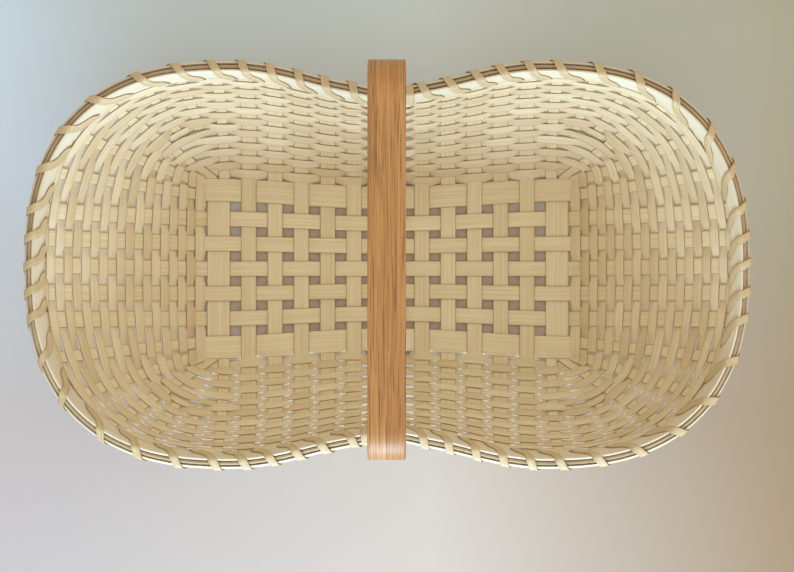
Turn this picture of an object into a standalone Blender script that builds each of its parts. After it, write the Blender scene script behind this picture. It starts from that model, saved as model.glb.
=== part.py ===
"""Hourglass gathering basket of flat reed, with a fixed oak hoop handle.

Every stake runs from rim to rim as one strip. The base is an open plain weave, the
wall rows are rings woven over one upright and under the next, and two rims, a round
filler and a lashing finish the top edge. X runs along the basket, Y across it and
Z up, from the plane that the basket stands on.
"""

import math

import bpy
from mathutils import Vector

MM = 0.001

# Reed and oak strips
STAKE_WIDTH = 12.7 * MM
EDGE_STAKE_WIDTH = 19.05 * MM
STAKE_THICK = 0.9 * MM
WEAVER_THICK = 0.8 * MM
SPOKE_WIDTH = 7.5 * MM
SPLIT_CUT = 0.9 * MM
HOOP_WIDTH = 25.4 * MM
HOOP_THICK = 6.0 * MM
HOOP_WOVEN_THICK = 3.0 * MM
HOOP_EDGE_ROUND = 1.3 * MM

# Fit between strips that touch
TOUCH_GAP = 0.3 * MM
EDGE_MARGIN = 0.3 * MM
TWIST_SLACK = 0.12 * MM

# Base weave
GAP_ALONG = 9.3 * MM
GAP_ACROSS = 8.2 * MM
CROSS_STAKES_PER_HALF = 6
LONG_STAKES_PER_SIDE = 3
WAIST_PINCH_SHARE = 0.10
SIDE_FOOT_GAP = 1.0 * MM
END_FOOT_GAP = 1.8 * MM

# Wall
WALL_HEIGHT = 139.0 * MM
TOP_HALF_LENGTH = 268.0 * MM
LOBE_CENTRE = 118.0 * MM
LOBE_HALF_WIDTH = 148.5 * MM
WAIST_HALF_WIDTH = 129.5 * MM
LOBE_POWER = 2.5
FIRST_ROW_LEAD = 3.0 * MM
WALL_ROWS = 18
ROWS_PER_BEND = 3
ROW_GAP = 0.9 * MM
SPLIT_ROW = 2
SPOKE_ROW = 8
SIDE_CONTROL_SHARES = (0.815, 0.44)
END_CONTROL_SHARES = (0.665, 0.56)
SIDE_RIM_SLOPE = 70.0
END_RIM_SLOPE = 57.0

# Tops of one quarter's uprights, along the quarter of the top edge from handle to end
STAKE_TOP_SHARES = (0.074, 0.131, 0.188, 0.245, 0.302)
SPLIT_CROSS_TOP_SHARES = (0.363, 0.612)
SPOKE_TOP_SHARES = (0.441, 0.522)
SPLIT_LONG_TOP_SHARES = (0.708, 0.802)
LONG_TOP_SHARES = (0.886, 0.943, 1.0)

# Places where the corner spokes' own lines would meet the base, past its corner
SPOKE_FOOT_SHARES = ((1.033, 1.02), (1.054, 0.995))

# Rim
RIM_HEIGHT = 16.0 * MM
RIM_RISE = 4.0 * MM
RIM_EASE = 0.4 * MM
INNER_RIM_THICK = 2.2 * MM
OUTER_RIM_HEIGHT = 13.0 * MM
OUTER_RIM_THICK = 3.4 * MM
RIM_EDGE_ROUND = 0.8 * MM
FILLER_DIAMETER = 3.4 * MM
FILLER_LIFT = 0.8 * MM
FILLER_SIDES = 6
LASHING_WIDTH = 6.4 * MM
LASHING_THICK = 0.8 * MM
LASHING_TOP_SHARE = 0.6
LASHING_SLACK = 0.3 * MM

# Handle above the rim
HOOP_HEIGHT = 305.0 * MM
HOOP_HALF_SPAN = 134.0 * MM
HOOP_CORNER_RADIUS = 22.0 * MM
HOOP_CORNER_STEPS = 5

CURVE_SAMPLES = 240
PROFILE_SAMPLES = 48
SETTLE_ROUNDS = 12
FOLD_EASE_SHARE = 0.8
TWIST_STEPS = 2
INSIDE, OUTSIDE = 1, -1

REED_COLOUR = (0.72, 0.60, 0.38, 1.0)
WEAVER_COLOUR = (0.78, 0.67, 0.46, 1.0)
RIM_COLOUR = (0.82, 0.72, 0.52, 1.0)
FILLER_COLOUR = (0.45, 0.30, 0.16, 1.0)
OAK_COLOUR = (0.58, 0.35, 0.16, 1.0)
REED_ROUGHNESS = 0.6
OAK_ROUGHNESS = 0.45


def clear_scene():
    """Start from nothing, whatever file the script runs from."""
    for thing in list(bpy.data.objects):
        bpy.data.objects.remove(thing, do_unlink=True)


def material(name, colour, roughness):
    """One plain finish, shared by the pieces cut from the same stuff."""
    finish = bpy.data.materials.new(name)
    finish.use_nodes = True
    shader = finish.node_tree.nodes["Principled BSDF"]
    shader.inputs["Base Color"].default_value = colour
    shader.inputs["Roughness"].default_value = roughness
    shader.inputs["Metallic"].default_value = 0
    finish.diffuse_color = colour
    return finish


def add_piece(name, points, faces, finish):
    """Make one named object from its corners and outward faces."""
    mesh = bpy.data.meshes.new(name)
    mesh.from_pydata([tuple(point) for point in points], [], faces)
    mesh.materials.append(finish)
    mesh.validate()
    piece = bpy.data.objects.new(name, mesh)
    bpy.context.scene.collection.objects.link(piece)
    return piece


def turn_outwards(points, faces):
    """Give the faces the order that encloses a positive volume."""
    volume = 0
    for face in faces:
        for second, third in zip(face[1:-1], face[2:]):
            volume += points[face[0]].dot(points[second].cross(points[third]))
    if volume < 0:
        return [tuple(reversed(face)) for face in faces]
    return faces


def loft(name, sections, finish, closed=False):
    """Skin a run of equal sections, with capped ends unless the run is a ring."""
    sides = len(sections[0])
    points = [point for section in sections for point in section]
    steps = len(sections) if closed else len(sections) - 1
    faces = []
    for step in range(steps):
        here = step * sides
        there = (step + 1) % len(sections) * sides
        for side in range(sides):
            after = (side + 1) % sides
            faces.append((here + side, here + after, there + after, there + side))
    if not closed:
        faces.append(tuple(reversed(range(sides))))
        faces.append(tuple(range(len(points) - sides, len(points))))
    return add_piece(name, points, turn_outwards(points, faces), finish)


def flat_section(centre, across, through, width, thick):
    """Four corners of a flat strip: across is its width, through its thickness."""
    side = across * (width / 2)
    face = through * (thick / 2)
    return [centre - side - face, centre + side - face, centre + side + face, centre - side + face]


# The base grid

BASE_MID_HEIGHT = STAKE_THICK + TOUCH_GAP + STAKE_THICK / 2
HOOP_FOOT_HEIGHT = STAKE_THICK + TOUCH_GAP + HOOP_WOVEN_THICK / 2
STAKE_PITCH_ALONG = STAKE_WIDTH + GAP_ALONG
STAKE_PITCH_ACROSS = STAKE_WIDTH + GAP_ACROSS
FIRST_CROSS_X = HOOP_WIDTH / 2 + GAP_ALONG + STAKE_WIDTH / 2
EDGE_PITCH_ALONG = STAKE_WIDTH / 2 + GAP_ALONG + EDGE_STAKE_WIDTH / 2
EDGE_PITCH_ACROSS = STAKE_WIDTH / 2 + GAP_ACROSS + EDGE_STAKE_WIDTH / 2


def cross_stake_x(number):
    """Distance of cross stake 1 to 6 from the handle, counted outwards."""
    if number < CROSS_STAKES_PER_HALF:
        return FIRST_CROSS_X + (number - 1) * STAKE_PITCH_ALONG
    return FIRST_CROSS_X + (number - 2) * STAKE_PITCH_ALONG + EDGE_PITCH_ALONG


def long_stake_y(number):
    """Distance of long stake 0 to 3 from the middle of the base, at its ends."""
    if number < LONG_STAKES_PER_SIDE:
        return number * STAKE_PITCH_ACROSS
    return (number - 1) * STAKE_PITCH_ACROSS + EDGE_PITCH_ACROSS


BASE_END_X = cross_stake_x(CROSS_STAKES_PER_HALF) + EDGE_STAKE_WIDTH / 2 + END_FOOT_GAP
BASE_SIDE_Y = long_stake_y(LONG_STAKES_PER_SIDE) + EDGE_STAKE_WIDTH / 2 + SIDE_FOOT_GAP


def pinch(x):
    """Share by which the long stakes draw in towards the waist."""
    if abs(x) >= BASE_END_X:
        return 1
    return 1 - WAIST_PINCH_SHARE * math.cos(math.pi * x / (2 * BASE_END_X)) ** 2


def base_side(x):
    """Half-width of the base at x, where the cross stakes turn up."""
    return long_stake_y(LONG_STAKES_PER_SIDE) * pinch(x) + EDGE_STAKE_WIDTH / 2 + SIDE_FOOT_GAP


# The top edge of the wall

def top_quarter():
    """Points of one quarter of the top edge, from the handle to the basket's end."""
    points = []
    for step in range(CURVE_SAMPLES):
        x = LOBE_CENTRE * step / CURVE_SAMPLES
        swell = math.sin(math.pi * x / (2 * LOBE_CENTRE)) ** 2
        points.append(Vector((x, WAIST_HALF_WIDTH + (LOBE_HALF_WIDTH - WAIST_HALF_WIDTH) * swell)))
    for step in range(CURVE_SAMPLES + 1):
        turn = math.pi / 2 * step / CURVE_SAMPLES
        x = (TOP_HALF_LENGTH - LOBE_CENTRE) * math.sin(turn) ** (2 / LOBE_POWER)
        y = LOBE_HALF_WIDTH * max(math.cos(turn), 0) ** (2 / LOBE_POWER)
        points.append(Vector((LOBE_CENTRE + x, y)))
    return points


TOP_QUARTER = top_quarter()
TOP_LENGTHS = [0]
for before, after in zip(TOP_QUARTER, TOP_QUARTER[1:]):
    TOP_LENGTHS.append(TOP_LENGTHS[-1] + (after - before).length)


def top_point(share):
    """Point of the quarter at a share of its length from the handle."""
    wanted = share * TOP_LENGTHS[-1]
    for index in range(1, len(TOP_LENGTHS)):
        if TOP_LENGTHS[index] >= wanted or index == len(TOP_LENGTHS) - 1:
            span = TOP_LENGTHS[index] - TOP_LENGTHS[index - 1]
            part = min((wanted - TOP_LENGTHS[index - 1]) / span, 1)
            return TOP_QUARTER[index - 1].lerp(TOP_QUARTER[index], part)


class Upright:
    """One strip's way up the wall, from its foot at the base to the top edge."""

    def __init__(self, key, width, thick, foot, top, first_row):
        self.key = key
        self.width = width
        self.thick = thick
        self.foot = Vector((foot[0], foot[1], BASE_MID_HEIGHT))
        self.top = Vector((top[0], top[1], WALL_HEIGHT))
        self.first_row = first_row
        self.fold_side = None
        self.measure()

    def measure(self):
        """Turn the smooth profile into the few straight runs that every piece follows.

        The wall is full at the sides and nearly straight at the ends, and the rim on
        top of it leans out at a slope of its own.
        """
        run = self.top - self.foot
        side = abs(run.y) / math.hypot(run.x, run.y)
        slope = math.radians(END_RIM_SLOPE + (SIDE_RIM_SLOPE - END_RIM_SLOPE) * side)
        rim_up = Vector((run.x, run.y, 0)).normalized() * math.cos(slope)
        rim_up.z = math.sin(slope)
        crest = self.top - rim_up * (SLOT_HEIGHT + RIM_ROW_HEIGHT)
        run = crest - self.foot
        controls = zip(END_CONTROL_SHARES, SIDE_CONTROL_SHARES)
        out, rise = (end + (flank - end) * side for end, flank in controls)
        middle = self.foot + Vector((run.x * out, run.y * out, run.z * rise))
        smooth = []
        for step in range(PROFILE_SAMPLES + 1):
            part = step / PROFILE_SAMPLES
            smooth.append(self.foot.lerp(middle, part).lerp(middle.lerp(crest, part), part))
        lengths = [0]
        for before, after in zip(smooth, smooth[1:]):
            lengths.append(lengths[-1] + (after - before).length)
        self.pitch = (lengths[-1] - FIRST_ROW_LEAD) / WALL_ROWS
        self.length = lengths[-1] + SLOT_HEIGHT + RIM_ROW_HEIGHT
        self.bends = [0]
        for row in range(ROWS_PER_BEND, WALL_ROWS + 1, ROWS_PER_BEND):
            self.bends.append(FIRST_ROW_LEAD + row * self.pitch)
        self.knots = []
        for distance in self.bends:
            index = 0
            while index < PROFILE_SAMPLES - 1 and lengths[index + 1] < distance:
                index += 1
            part = (distance - lengths[index]) / (lengths[index + 1] - lengths[index])
            self.knots.append(smooth[index].lerp(smooth[index + 1], part))
        self.bends.append(self.length)
        self.knots.append(self.top)

    def segment(self, distance):
        """Number of the straight run that starts at or below a distance, and the share along it."""
        index = 0
        while index < len(self.bends) - 2 and distance >= self.bends[index + 1]:
            index += 1
        return index, (distance - self.bends[index]) / (self.bends[index + 1] - self.bends[index])

    def at(self, distance):
        """Point of the wall's middle surface at a distance up this upright."""
        index, part = self.segment(distance)
        return self.knots[index].lerp(self.knots[index + 1], part)

    def up(self, distance):
        """Direction up the wall at a distance."""
        index, _ = self.segment(distance)
        return (self.knots[index + 1] - self.knots[index]).normalized()

    def starts_below(self, share):
        """Whether this upright is already there at a share of the wall's height."""
        return self.first_row < SPOKE_ROW or share * self.length > self.row_edges(SPOKE_ROW)[0]

    def frame(self, distance):
        """Directions along the ring, up the wall and into the basket at a distance."""
        share = distance / self.length
        before, after = self.before, self.after
        while not before.starts_below(share):
            before = before.before
        while not after.starts_below(share):
            after = after.after
        along = after.at(share * after.length) - before.at(share * before.length)
        up = self.up(distance)
        across = (along - up * along.dot(up)).normalized()
        return across, up, self.into_basket(across.cross(up))

    def into_basket(self, direction):
        """The direction or its opposite, whichever points into the basket."""
        outward = self.top - self.foot
        if direction.x * outward.x + direction.y * outward.y > 0:
            return -direction.normalized()
        return direction.normalized()

    def fold_at(self, centre, side):
        """Take the strip's own middle and half-width where it leaves the base."""
        self.bends[0] = (centre.z - self.foot.z) / self.up(0).z
        self.knots[0] = centre
        along = self.after.foot - self.before.foot
        self.fold_side = side if side.dot(along) > 0 else -side

    def find_sides(self):
        """Half-width and thickness directions at every bend, mitered between the runs."""
        self.sides = []
        self.throughs = []
        for distance in self.bends[1:]:
            across, _, inward = self.frame(distance)
            if distance < self.length:
                across_before, _, inward_before = self.frame(distance - TOUCH_GAP)
                across = (across + across_before).normalized()
                middle = (inward + inward_before).normalized()
                inward = middle / middle.dot(inward)
            self.sides.append(across * (self.width / 2))
            self.throughs.append(inward)
        if self.fold_side:
            first = self.sides[0].normalized()
            eased = (first + self.fold_side.normalized() * FOLD_EASE_SHARE).normalized()
            up = self.up(self.bends[1])
            eased = (eased - up * eased.dot(up)).normalized()
            self.sides[0] = eased * (self.width / 2)
            self.throughs[0] = self.into_basket(eased.cross(up))
        self.sides.insert(0, self.fold_side or self.sides[0])

    def ribbon(self, distance):
        """The strip at a distance: its middle, its half-width and the way into the basket."""
        index, part = self.segment(distance)
        side = self.sides[index].lerp(self.sides[index + 1], part)
        return self.at(distance), side, self.into_basket(side.cross(self.up(distance)))

    def row_edges(self, row):
        """Lower and upper edge of a row, as distances up this upright."""
        if row > WALL_ROWS:
            return self.length - RIM_ROW_HEIGHT, self.length - ROW_GAP
        low = FIRST_ROW_LEAD + (row - 1) * self.pitch
        return low, low + self.pitch - ROW_GAP


RIM_ROW_HEIGHT = RIM_HEIGHT - RIM_RISE
SLOT_HEIGHT = LASHING_THICK + 3 * TOUCH_GAP
RIM_ROW = WALL_ROWS + 1
SPLIT_WIDTH = EDGE_STAKE_WIDTH / 2 - SPLIT_CUT


def quarter_plan():
    """Uprights of one quarter, from the first stake past the handle to the end's middle."""
    plan = []
    for number in range(1, CROSS_STAKES_PER_HALF):
        x = cross_stake_x(number)
        plan.append(("stake", number, STAKE_WIDTH, (x, base_side(x)), STAKE_TOP_SHARES[number - 1], 1))
    edge_x = cross_stake_x(CROSS_STAKES_PER_HALF)
    edge_y = long_stake_y(LONG_STAKES_PER_SIDE)
    half = EDGE_STAKE_WIDTH / 4
    near_foot = (edge_x - half, base_side(edge_x - half))
    far_foot = (edge_x + half, base_side(edge_x + half))
    plan.append(("cross_near", 0, SPLIT_WIDTH, near_foot, SPLIT_CROSS_TOP_SHARES[0], SPLIT_ROW))
    for number, (share, foot) in enumerate(zip(SPOKE_TOP_SHARES, SPOKE_FOOT_SHARES)):
        place = (edge_x * foot[0], BASE_SIDE_Y * foot[1])
        plan.append(("spoke", number, SPOKE_WIDTH, place, share, SPOKE_ROW))
    plan.append(("cross_far", 0, SPLIT_WIDTH, far_foot, SPLIT_CROSS_TOP_SHARES[1], SPLIT_ROW))
    for key, way, share in zip(("long_far", "long_near"), (1, -1), SPLIT_LONG_TOP_SHARES):
        plan.append((key, 0, SPLIT_WIDTH, (BASE_END_X, edge_y + half * way), share, SPLIT_ROW))
    for number in range(LONG_STAKES_PER_SIDE - 1, -1, -1):
        share = LONG_TOP_SHARES[LONG_STAKES_PER_SIDE - 1 - number]
        plan.append(("long", number, STAKE_WIDTH, (BASE_END_X, long_stake_y(number)), share, 1))
    return plan


def make_uprights():
    """All uprights in order round the basket, mirrored from one quarter."""
    ring = []

    def add(kind, number, width, foot, share, first_row, side_x, side_y):
        top = top_point(share)
        thick = HOOP_WOVEN_THICK if kind == "handle" else STAKE_THICK
        place = (foot[0] * side_x, foot[1] * side_y)
        reach = (top.x * side_x, top.y * side_y)
        side = side_y if foot[1] else 1
        ring.append(Upright((kind, number, side_x, side), width, thick, place, reach, first_row))

    def add_handle(side_y):
        add("handle", 0, HOOP_WIDTH, (0, base_side(0)), 0, 1, 1, side_y)

    plan = quarter_plan()
    add_handle(1)
    for kind, number, width, foot, share, first_row in plan:
        add(kind, number, width, foot, share, first_row, 1, 1)
    for kind, number, width, foot, share, first_row in reversed(plan[:-1]):
        add(kind, number, width, foot, share, first_row, 1, -1)
    add_handle(-1)
    for kind, number, width, foot, share, first_row in plan:
        add(kind, number, width, foot, share, first_row, -1, -1)
    for kind, number, width, foot, share, first_row in reversed(plan[:-1]):
        add(kind, number, width, foot, share, first_row, -1, 1)
    for index, upright in enumerate(ring):
        upright.before = ring[index - 1]
        upright.after = ring[(index + 1) % len(ring)]
    return ring


# The wall rows

class Crossing:
    """Where a row passes an upright, or a pair not yet split, on one side of it."""

    def __init__(self, members, side, row):
        self.members = members
        self.side = side
        self.row = row
        self.thick = members[0].thick
        self.flat = self.is_flat()
        self.half = members[0].width / 2
        self.slack = TWIST_SLACK if members[0].first_row == SPLIT_ROW else 0
        self.offset = self.thick / 2 + TOUCH_GAP + WEAVER_THICK / 2
        self.seats = self.find_seats()

    def is_flat(self):
        """Wide or closely set uprights get a flat pass, others one rounded crest."""
        kinds = {member.key[0] for member in self.members}
        close = self.row < SPOKE_ROW and kinds & {"cross_far", "long_far", "long_near"}
        return bool(self.row == RIM_ROW or "handle" in kinds or close)

    def find_seats(self):
        """Lower and upper point with the way into the basket, at each station on the strip."""
        places = [(self.members[0], 0, 0)]
        if self.flat:
            places = [(self.members[0], -1, EDGE_MARGIN), (self.members[-1], 1, EDGE_MARGIN)]
        if len(self.members) > 1:
            places[1:1] = [(self.members[0], 1, 0), (self.members[-1], -1, 0)]
        seats = []
        for member, way, margin in places:
            spots = []
            for distance in member.row_edges(self.row):
                centre, side, inward = member.ribbon(distance)
                spots.append((centre + side * way + side.normalized() * (way * margin), inward))
            seats.append(spots)
        return seats

    def stations(self):
        """Sections of the weaver at this crossing, in the order round the ring."""
        lift = self.side * self.offset
        skin = WEAVER_THICK / 2
        found = []
        for (low, low_in), (high, high_in) in self.seats:
            found.append([
                low + low_in * (lift - skin), low + low_in * (lift + skin),
                high + high_in * (lift + skin), high + high_in * (lift - skin),
            ])
        return found

    def slope_to(self, other, mine, theirs):
        """How steeply the weaver leaves this strip for its next station, at the worse edge."""
        slopes = []
        for (place, inward), (next_place, next_inward) in zip(self.seats[mine], other.seats[theirs]):
            way = next_place - place
            depth = way.dot(inward)
            run = (way - inward * depth).length
            next_lift = depth + other.side * other.offset * inward.dot(next_inward)
            slopes.append((self.offset - self.side * next_lift) / run)
        return max(slopes)


def row_crossings(uprights, row):
    """The row's crossings round the ring, inside and outside by turns."""
    groups = []
    for upright in uprights:
        if upright.first_row <= row:
            groups.append([upright])
        elif upright.first_row == SPLIT_ROW:
            kind = upright.key[0].split("_")[0]
            last = groups[-1][-1].key[0]
            if len(groups[-1]) == 1 and last.startswith(kind + "_"):
                groups[-1].append(upright)
            else:
                groups.append([upright])
    sides = [INSIDE if (place + row) % 2 == 0 else OUTSIDE for place in range(len(groups))]
    return [Crossing(group, side, row) for group, side in zip(groups, sides)]


def settle_offsets(crossings):
    """Lift each crossing until the weaver clears its upright's edges with the touching gap."""
    for _ in range(SETTLE_ROUNDS):
        lifts = []
        for place, here in enumerate(crossings):
            before = crossings[place - 1]
            after = crossings[(place + 1) % len(crossings)]
            steepest = max(here.slope_to(before, 0, -1), here.slope_to(after, -1, 0), 0)
            lift = here.thick / 2 + WEAVER_THICK / 2 + TOUCH_GAP * math.hypot(1, steepest) + here.slack
            if not here.flat:
                lift += here.half * steepest
            lifts.append(lift)
        for crossing, lift in zip(crossings, lifts):
            crossing.offset = lift


def make_row(name, uprights, row, finish):
    """One ring of weaver; gives back its crossings, which the rims follow."""
    crossings = row_crossings(uprights, row)
    settle_offsets(crossings)
    sections = [section for crossing in crossings for section in crossing.stations()]
    loft(name, sections, finish, closed=True)
    return crossings


# The stakes

def corners_of(centre, side, through, thick):
    """Four corners of a strip from its half-width vector and its thickness direction."""
    face = through * (thick / 2)
    return [centre - side - face, centre + side - face, centre + side + face, centre - side + face]


def wall_sections(upright, start=None):
    """Sections of a strip up the wall, from its first bend or from a row's edge."""
    sections = []
    if start:
        centre, side, inward = upright.ribbon(start)
        sections.append(corners_of(centre, side, inward, upright.thick))
    if upright.first_row == SPLIT_ROW:
        for step in range(1, TWIST_STEPS):
            centre, side, inward = upright.ribbon(upright.bends[1] * step / TWIST_STEPS)
            sections.append(corners_of(centre, side, inward, upright.thick))
    for place, distance in enumerate(upright.bends[1:]):
        if not start or distance > start + TOUCH_GAP:
            knot, side = upright.knots[place + 1], upright.sides[place + 1]
            sections.append(corners_of(knot, side, upright.throughs[place], upright.thick))
    return sections


def fold_through(wall_up, across):
    """Thickness direction at the fold between base and wall, stretched to miter the strip."""
    level = Vector((wall_up.x, wall_up.y, 0))
    level = (level - across * level.dot(across)).normalized()
    up_across = (wall_up - across * wall_up.dot(across)).normalized()
    through = (level + up_across).cross(across).normalized()
    if through.z < 0:
        through = -through
    return through / through.z


def fold_point(foot, wall_up, height):
    """Where a strip lying at a height meets the wall's middle surface."""
    return foot + wall_up * ((height - foot.z) / wall_up.z)


def fold_section(upright, across):
    """Section of a single strip at its fold, mitered between base and wall."""
    through = fold_through(upright.up(0), across)
    return corners_of(upright.knots[0], upright.fold_side, through, upright.thick)


def pair_fold(first, second, across, height):
    """Fold a wide strip whose halves go up the wall as two uprights, and give its section."""
    edge = across * (EDGE_STAKE_WIDTH / 4)
    mean_up = (first.up(0) + second.up(0)).normalized()
    near = fold_point(first.foot - edge, first.up(0), height)
    middle = fold_point((first.foot + second.foot) / 2, mean_up, height)
    far = fold_point(second.foot + edge, second.up(0), height)
    first.fold_at((near + middle) / 2, (middle - near) / 2)
    second.fold_at((middle + far) / 2, (far - middle) / 2)
    face = fold_through(mean_up, across) * (STAKE_THICK / 2)
    return [near - face, middle - face, far - face, far + face, middle + face, near + face]


def long_pair(by_key, side_x, side_y):
    """The two halves of a wide long stake's end, in the order of rising Y."""
    near = by_key["long_near", 0, side_x, side_y]
    far = by_key["long_far", 0, side_x, side_y]
    return (near, far) if side_y > 0 else (far, near)


def fold_uprights(by_key):
    """Fold every upright off the base; gives the sections of the wide stakes' folds."""
    along_x = Vector((1, 0, 0))
    along_y = Vector((0, 1, 0))
    wide_folds = {}
    for (kind, number, side_x, side_y), upright in by_key.items():
        if kind == "stake":
            height, across = BASE_MID_HEIGHT, along_x
        elif kind == "handle":
            height, across = HOOP_FOOT_HEIGHT, along_x
        elif kind == "long":
            height, across = weave_levels(number)[-1][1], along_y
        else:
            continue
        place = fold_point(upright.foot, upright.up(0), height)
        upright.fold_at(place, across * (upright.width / 2))
    for side_x in (-1, 1):
        for side_y in (-1, 1):
            near = by_key["cross_near", 0, side_x, side_y]
            far = by_key["cross_far", 0, side_x, side_y]
            wide_folds["cross", side_x, side_y] = pair_fold(near, far, along_x * side_x, BASE_MID_HEIGHT)
            first, second = long_pair(by_key, side_x, side_y)
            height = weave_levels(LONG_STAKES_PER_SIDE)[-1][1]
            wide_folds["long", side_x, side_y] = pair_fold(first, second, along_y, height)
    for upright in by_key.values():
        upright.find_sides()
    return wide_folds


def make_cross_stake(name, far, near, finish):
    """A narrow cross stake: straight through the base and up both long walls."""
    across = Vector((1, 0, 0))
    ends = [[fold_section(upright, across)] + wall_sections(upright) for upright in (far, near)]
    loft_through(name, ends[0], ends[1], finish)


def align(section, model):
    """Order a section's corners as its neighbour's are, so that the skin does not twist."""
    best = None
    for flip in (False, True):
        corners = list(reversed(section)) if flip else list(section)
        for turn in range(len(corners)):
            trial = corners[turn:] + corners[:turn]
            reach = sum((one - two).length for one, two in zip(trial, model))
            if best is None or reach < best[0]:
                best = (reach, trial)
    return best[1]


def in_step(sections):
    """Align each section with the one before it."""
    out = [sections[0]]
    for section in sections[1:]:
        out.append(align(section, out[-1]))
    return out


def loft_through(name, first_end, second_end, finish, middle=()):
    """Skin from one top edge down, through the base and up to the other top edge."""
    sections = list(reversed(first_end)) + list(middle) + second_end
    loft(name, in_step(sections), finish)


def forked(name, trunk, forks, finish):
    """A wide strip, given as six-corner sections, whose two ends are split in two.

    Each trunk section is near-bottom, mid-bottom, far-bottom, far-top, mid-top and
    near-top. Each fork is a list of four-corner sections that starts at the trunk's end.
    """
    points = []
    faces = []

    def put(corners):
        start = len(points)
        points.extend(corners)
        return list(range(start, start + len(corners)))

    rows = [put(section) for section in trunk]
    for one, two in zip(rows, rows[1:]):
        for side in range(len(one)):
            after = (side + 1) % len(one)
            faces.append((one[side], one[after], two[after], two[side]))
    for end, (near_fork, far_fork) in zip((rows[0], rows[-1]), forks):
        near_ring = [end[0], end[1], end[4], end[5]]
        far_ring = [end[1], end[2], end[3], end[4]]
        for ring, fork in ((near_ring, near_fork), (far_ring, far_fork)):
            model = [points[index] for index in ring]
            for section in fork:
                corners = align(section, model)
                fresh = put(corners)
                for side in range(len(ring)):
                    after = (side + 1) % len(ring)
                    face = (ring[side], ring[after], fresh[after], fresh[side])
                    faces.append(face if end is rows[-1] else tuple(reversed(face)))
                ring = fresh
                model = corners
            faces.append(tuple(ring) if end is rows[-1] else tuple(reversed(ring)))
    return add_piece(name, points, turn_outwards(points, faces), finish)


def wide_section(centre, across, through, width, thick):
    """Six corners of a wide strip, with its middle line marked for the split."""
    side = across * (width / 2)
    face = through * (thick / 2)
    return [
        centre - side - face, centre - face, centre + side - face,
        centre + side + face, centre + face, centre - side + face,
    ]


def make_edge_cross_stake(name, by_key, wide_folds, side_x, finish):
    """The wide cross stake at one end of the base, split into two uprights at each end."""
    trunk = [wide_folds["cross", side_x, side_y] for side_y in (1, -1)]
    forks = []
    for side_y in (1, -1):
        near = by_key["cross_near", 0, side_x, side_y]
        far = by_key["cross_far", 0, side_x, side_y]
        forks.append((wall_sections(near), wall_sections(far)))
    forked(name, trunk, forks, finish)


def weave_levels(number):
    """Places and heights along a long stake where it passes each cross stake and the handle."""
    levels = []
    lift = STAKE_THICK + TOUCH_GAP
    over_hoop = HOOP_WOVEN_THICK + TOUCH_GAP
    order = list(range(-CROSS_STAKES_PER_HALF, CROSS_STAKES_PER_HALF + 1))
    for place in order:
        over = (place + number) % 2 == 1
        if place == 0:
            half = HOOP_WIDTH / 2
            x = 0
        else:
            wide = abs(place) == CROSS_STAKES_PER_HALF
            half = (EDGE_STAKE_WIDTH if wide else STAKE_WIDTH) / 2
            x = math.copysign(cross_stake_x(abs(place)), place)
        height = BASE_MID_HEIGHT + (lift if over else -lift)
        if place == 0 and over:
            height = BASE_MID_HEIGHT + over_hoop
        levels.append((x - half - EDGE_MARGIN, height))
        levels.append((x + half + EDGE_MARGIN, height))
    return levels


def long_centre(number, side_y, x):
    """Y of a long stake's middle line at x."""
    return side_y * long_stake_y(number) * pinch(x)


def base_run(number, side_y, build, width):
    """Sections of a long stake through the base, over and under by turns."""
    sections = []
    for x, height in weave_levels(number):
        step = TOUCH_GAP
        slope = (long_centre(number, side_y, x + step) - long_centre(number, side_y, x - step)) / (2 * step)
        across = Vector((-slope, 1, 0)).normalized()
        centre = Vector((x, long_centre(number, side_y, x), height))
        sections.append(build(centre, across, Vector((0, 0, 1)), width, STAKE_THICK))
    return sections


def make_long_stake(name, number, side_y, by_key, finish):
    """A narrow long stake, woven through the base and up both end walls."""
    across = Vector((0, 1, 0))
    ends = []
    for side_x in (-1, 1):
        upright = by_key["long", number, side_x, side_y]
        ends.append([fold_section(upright, across)] + wall_sections(upright))
    loft_through(name, ends[0], ends[1], finish, base_run(number, side_y, flat_section, STAKE_WIDTH))


def make_edge_long_stake(name, side_y, by_key, wide_folds, finish):
    """The wide long stake along one side of the base, split into two uprights at each end."""
    run = base_run(LONG_STAKES_PER_SIDE, side_y, wide_section, EDGE_STAKE_WIDTH)
    trunk = [wide_folds["long", -1, side_y]] + run + [wide_folds["long", 1, side_y]]
    forks = []
    for side_x in (-1, 1):
        forks.append(tuple(wall_sections(half) for half in long_pair(by_key, side_x, side_y)))
    forked(name, trunk, forks, finish)


def make_spoke(name, upright, finish):
    """A short corner spoke, tucked in at its first row and clamped in the rim."""
    start = upright.row_edges(SPOKE_ROW)[0]
    loft(name, in_step(wall_sections(upright, start)), finish)


# The rims, filler and lashing

class Edge:
    """The rim's frame at one place round the top edge, and how far off the rims sit there."""

    def __init__(self, centre, along, up, inward, seat):
        self.centre = centre
        self.along = along
        self.up = up
        self.inward = inward
        self.seat = seat

    def place(self, along, inward, up):
        """World point from distances along the rim, into the basket and up the wall."""
        return self.centre + self.along * along + self.inward * inward + self.up * up


def rim_edges(crossings):
    """The rim's frames: one at each upright, and one at each edge of the handle's legs."""
    snug = WEAVER_THICK / 2 + TOUCH_GAP
    narrow = [crossing for crossing in crossings if crossing.members[0].key[0] != "handle"]
    common = max(crossing.offset for crossing in narrow) + snug + RIM_EASE
    found = []
    for crossing in crossings:
        member = crossing.members[0]
        centre, side, inward = member.ribbon(member.length)
        across = side.normalized()
        up = member.up(member.length)
        if member.key[0] == "handle":
            reach = across * (crossing.half + EDGE_MARGIN)
            seat = max(common, crossing.offset + snug)
            found.append([Edge(centre + reach * way, across, up, inward, seat) for way in (-1, 1)])
        else:
            found.append([Edge(centre, across, up, inward, common)])
    return found


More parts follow.
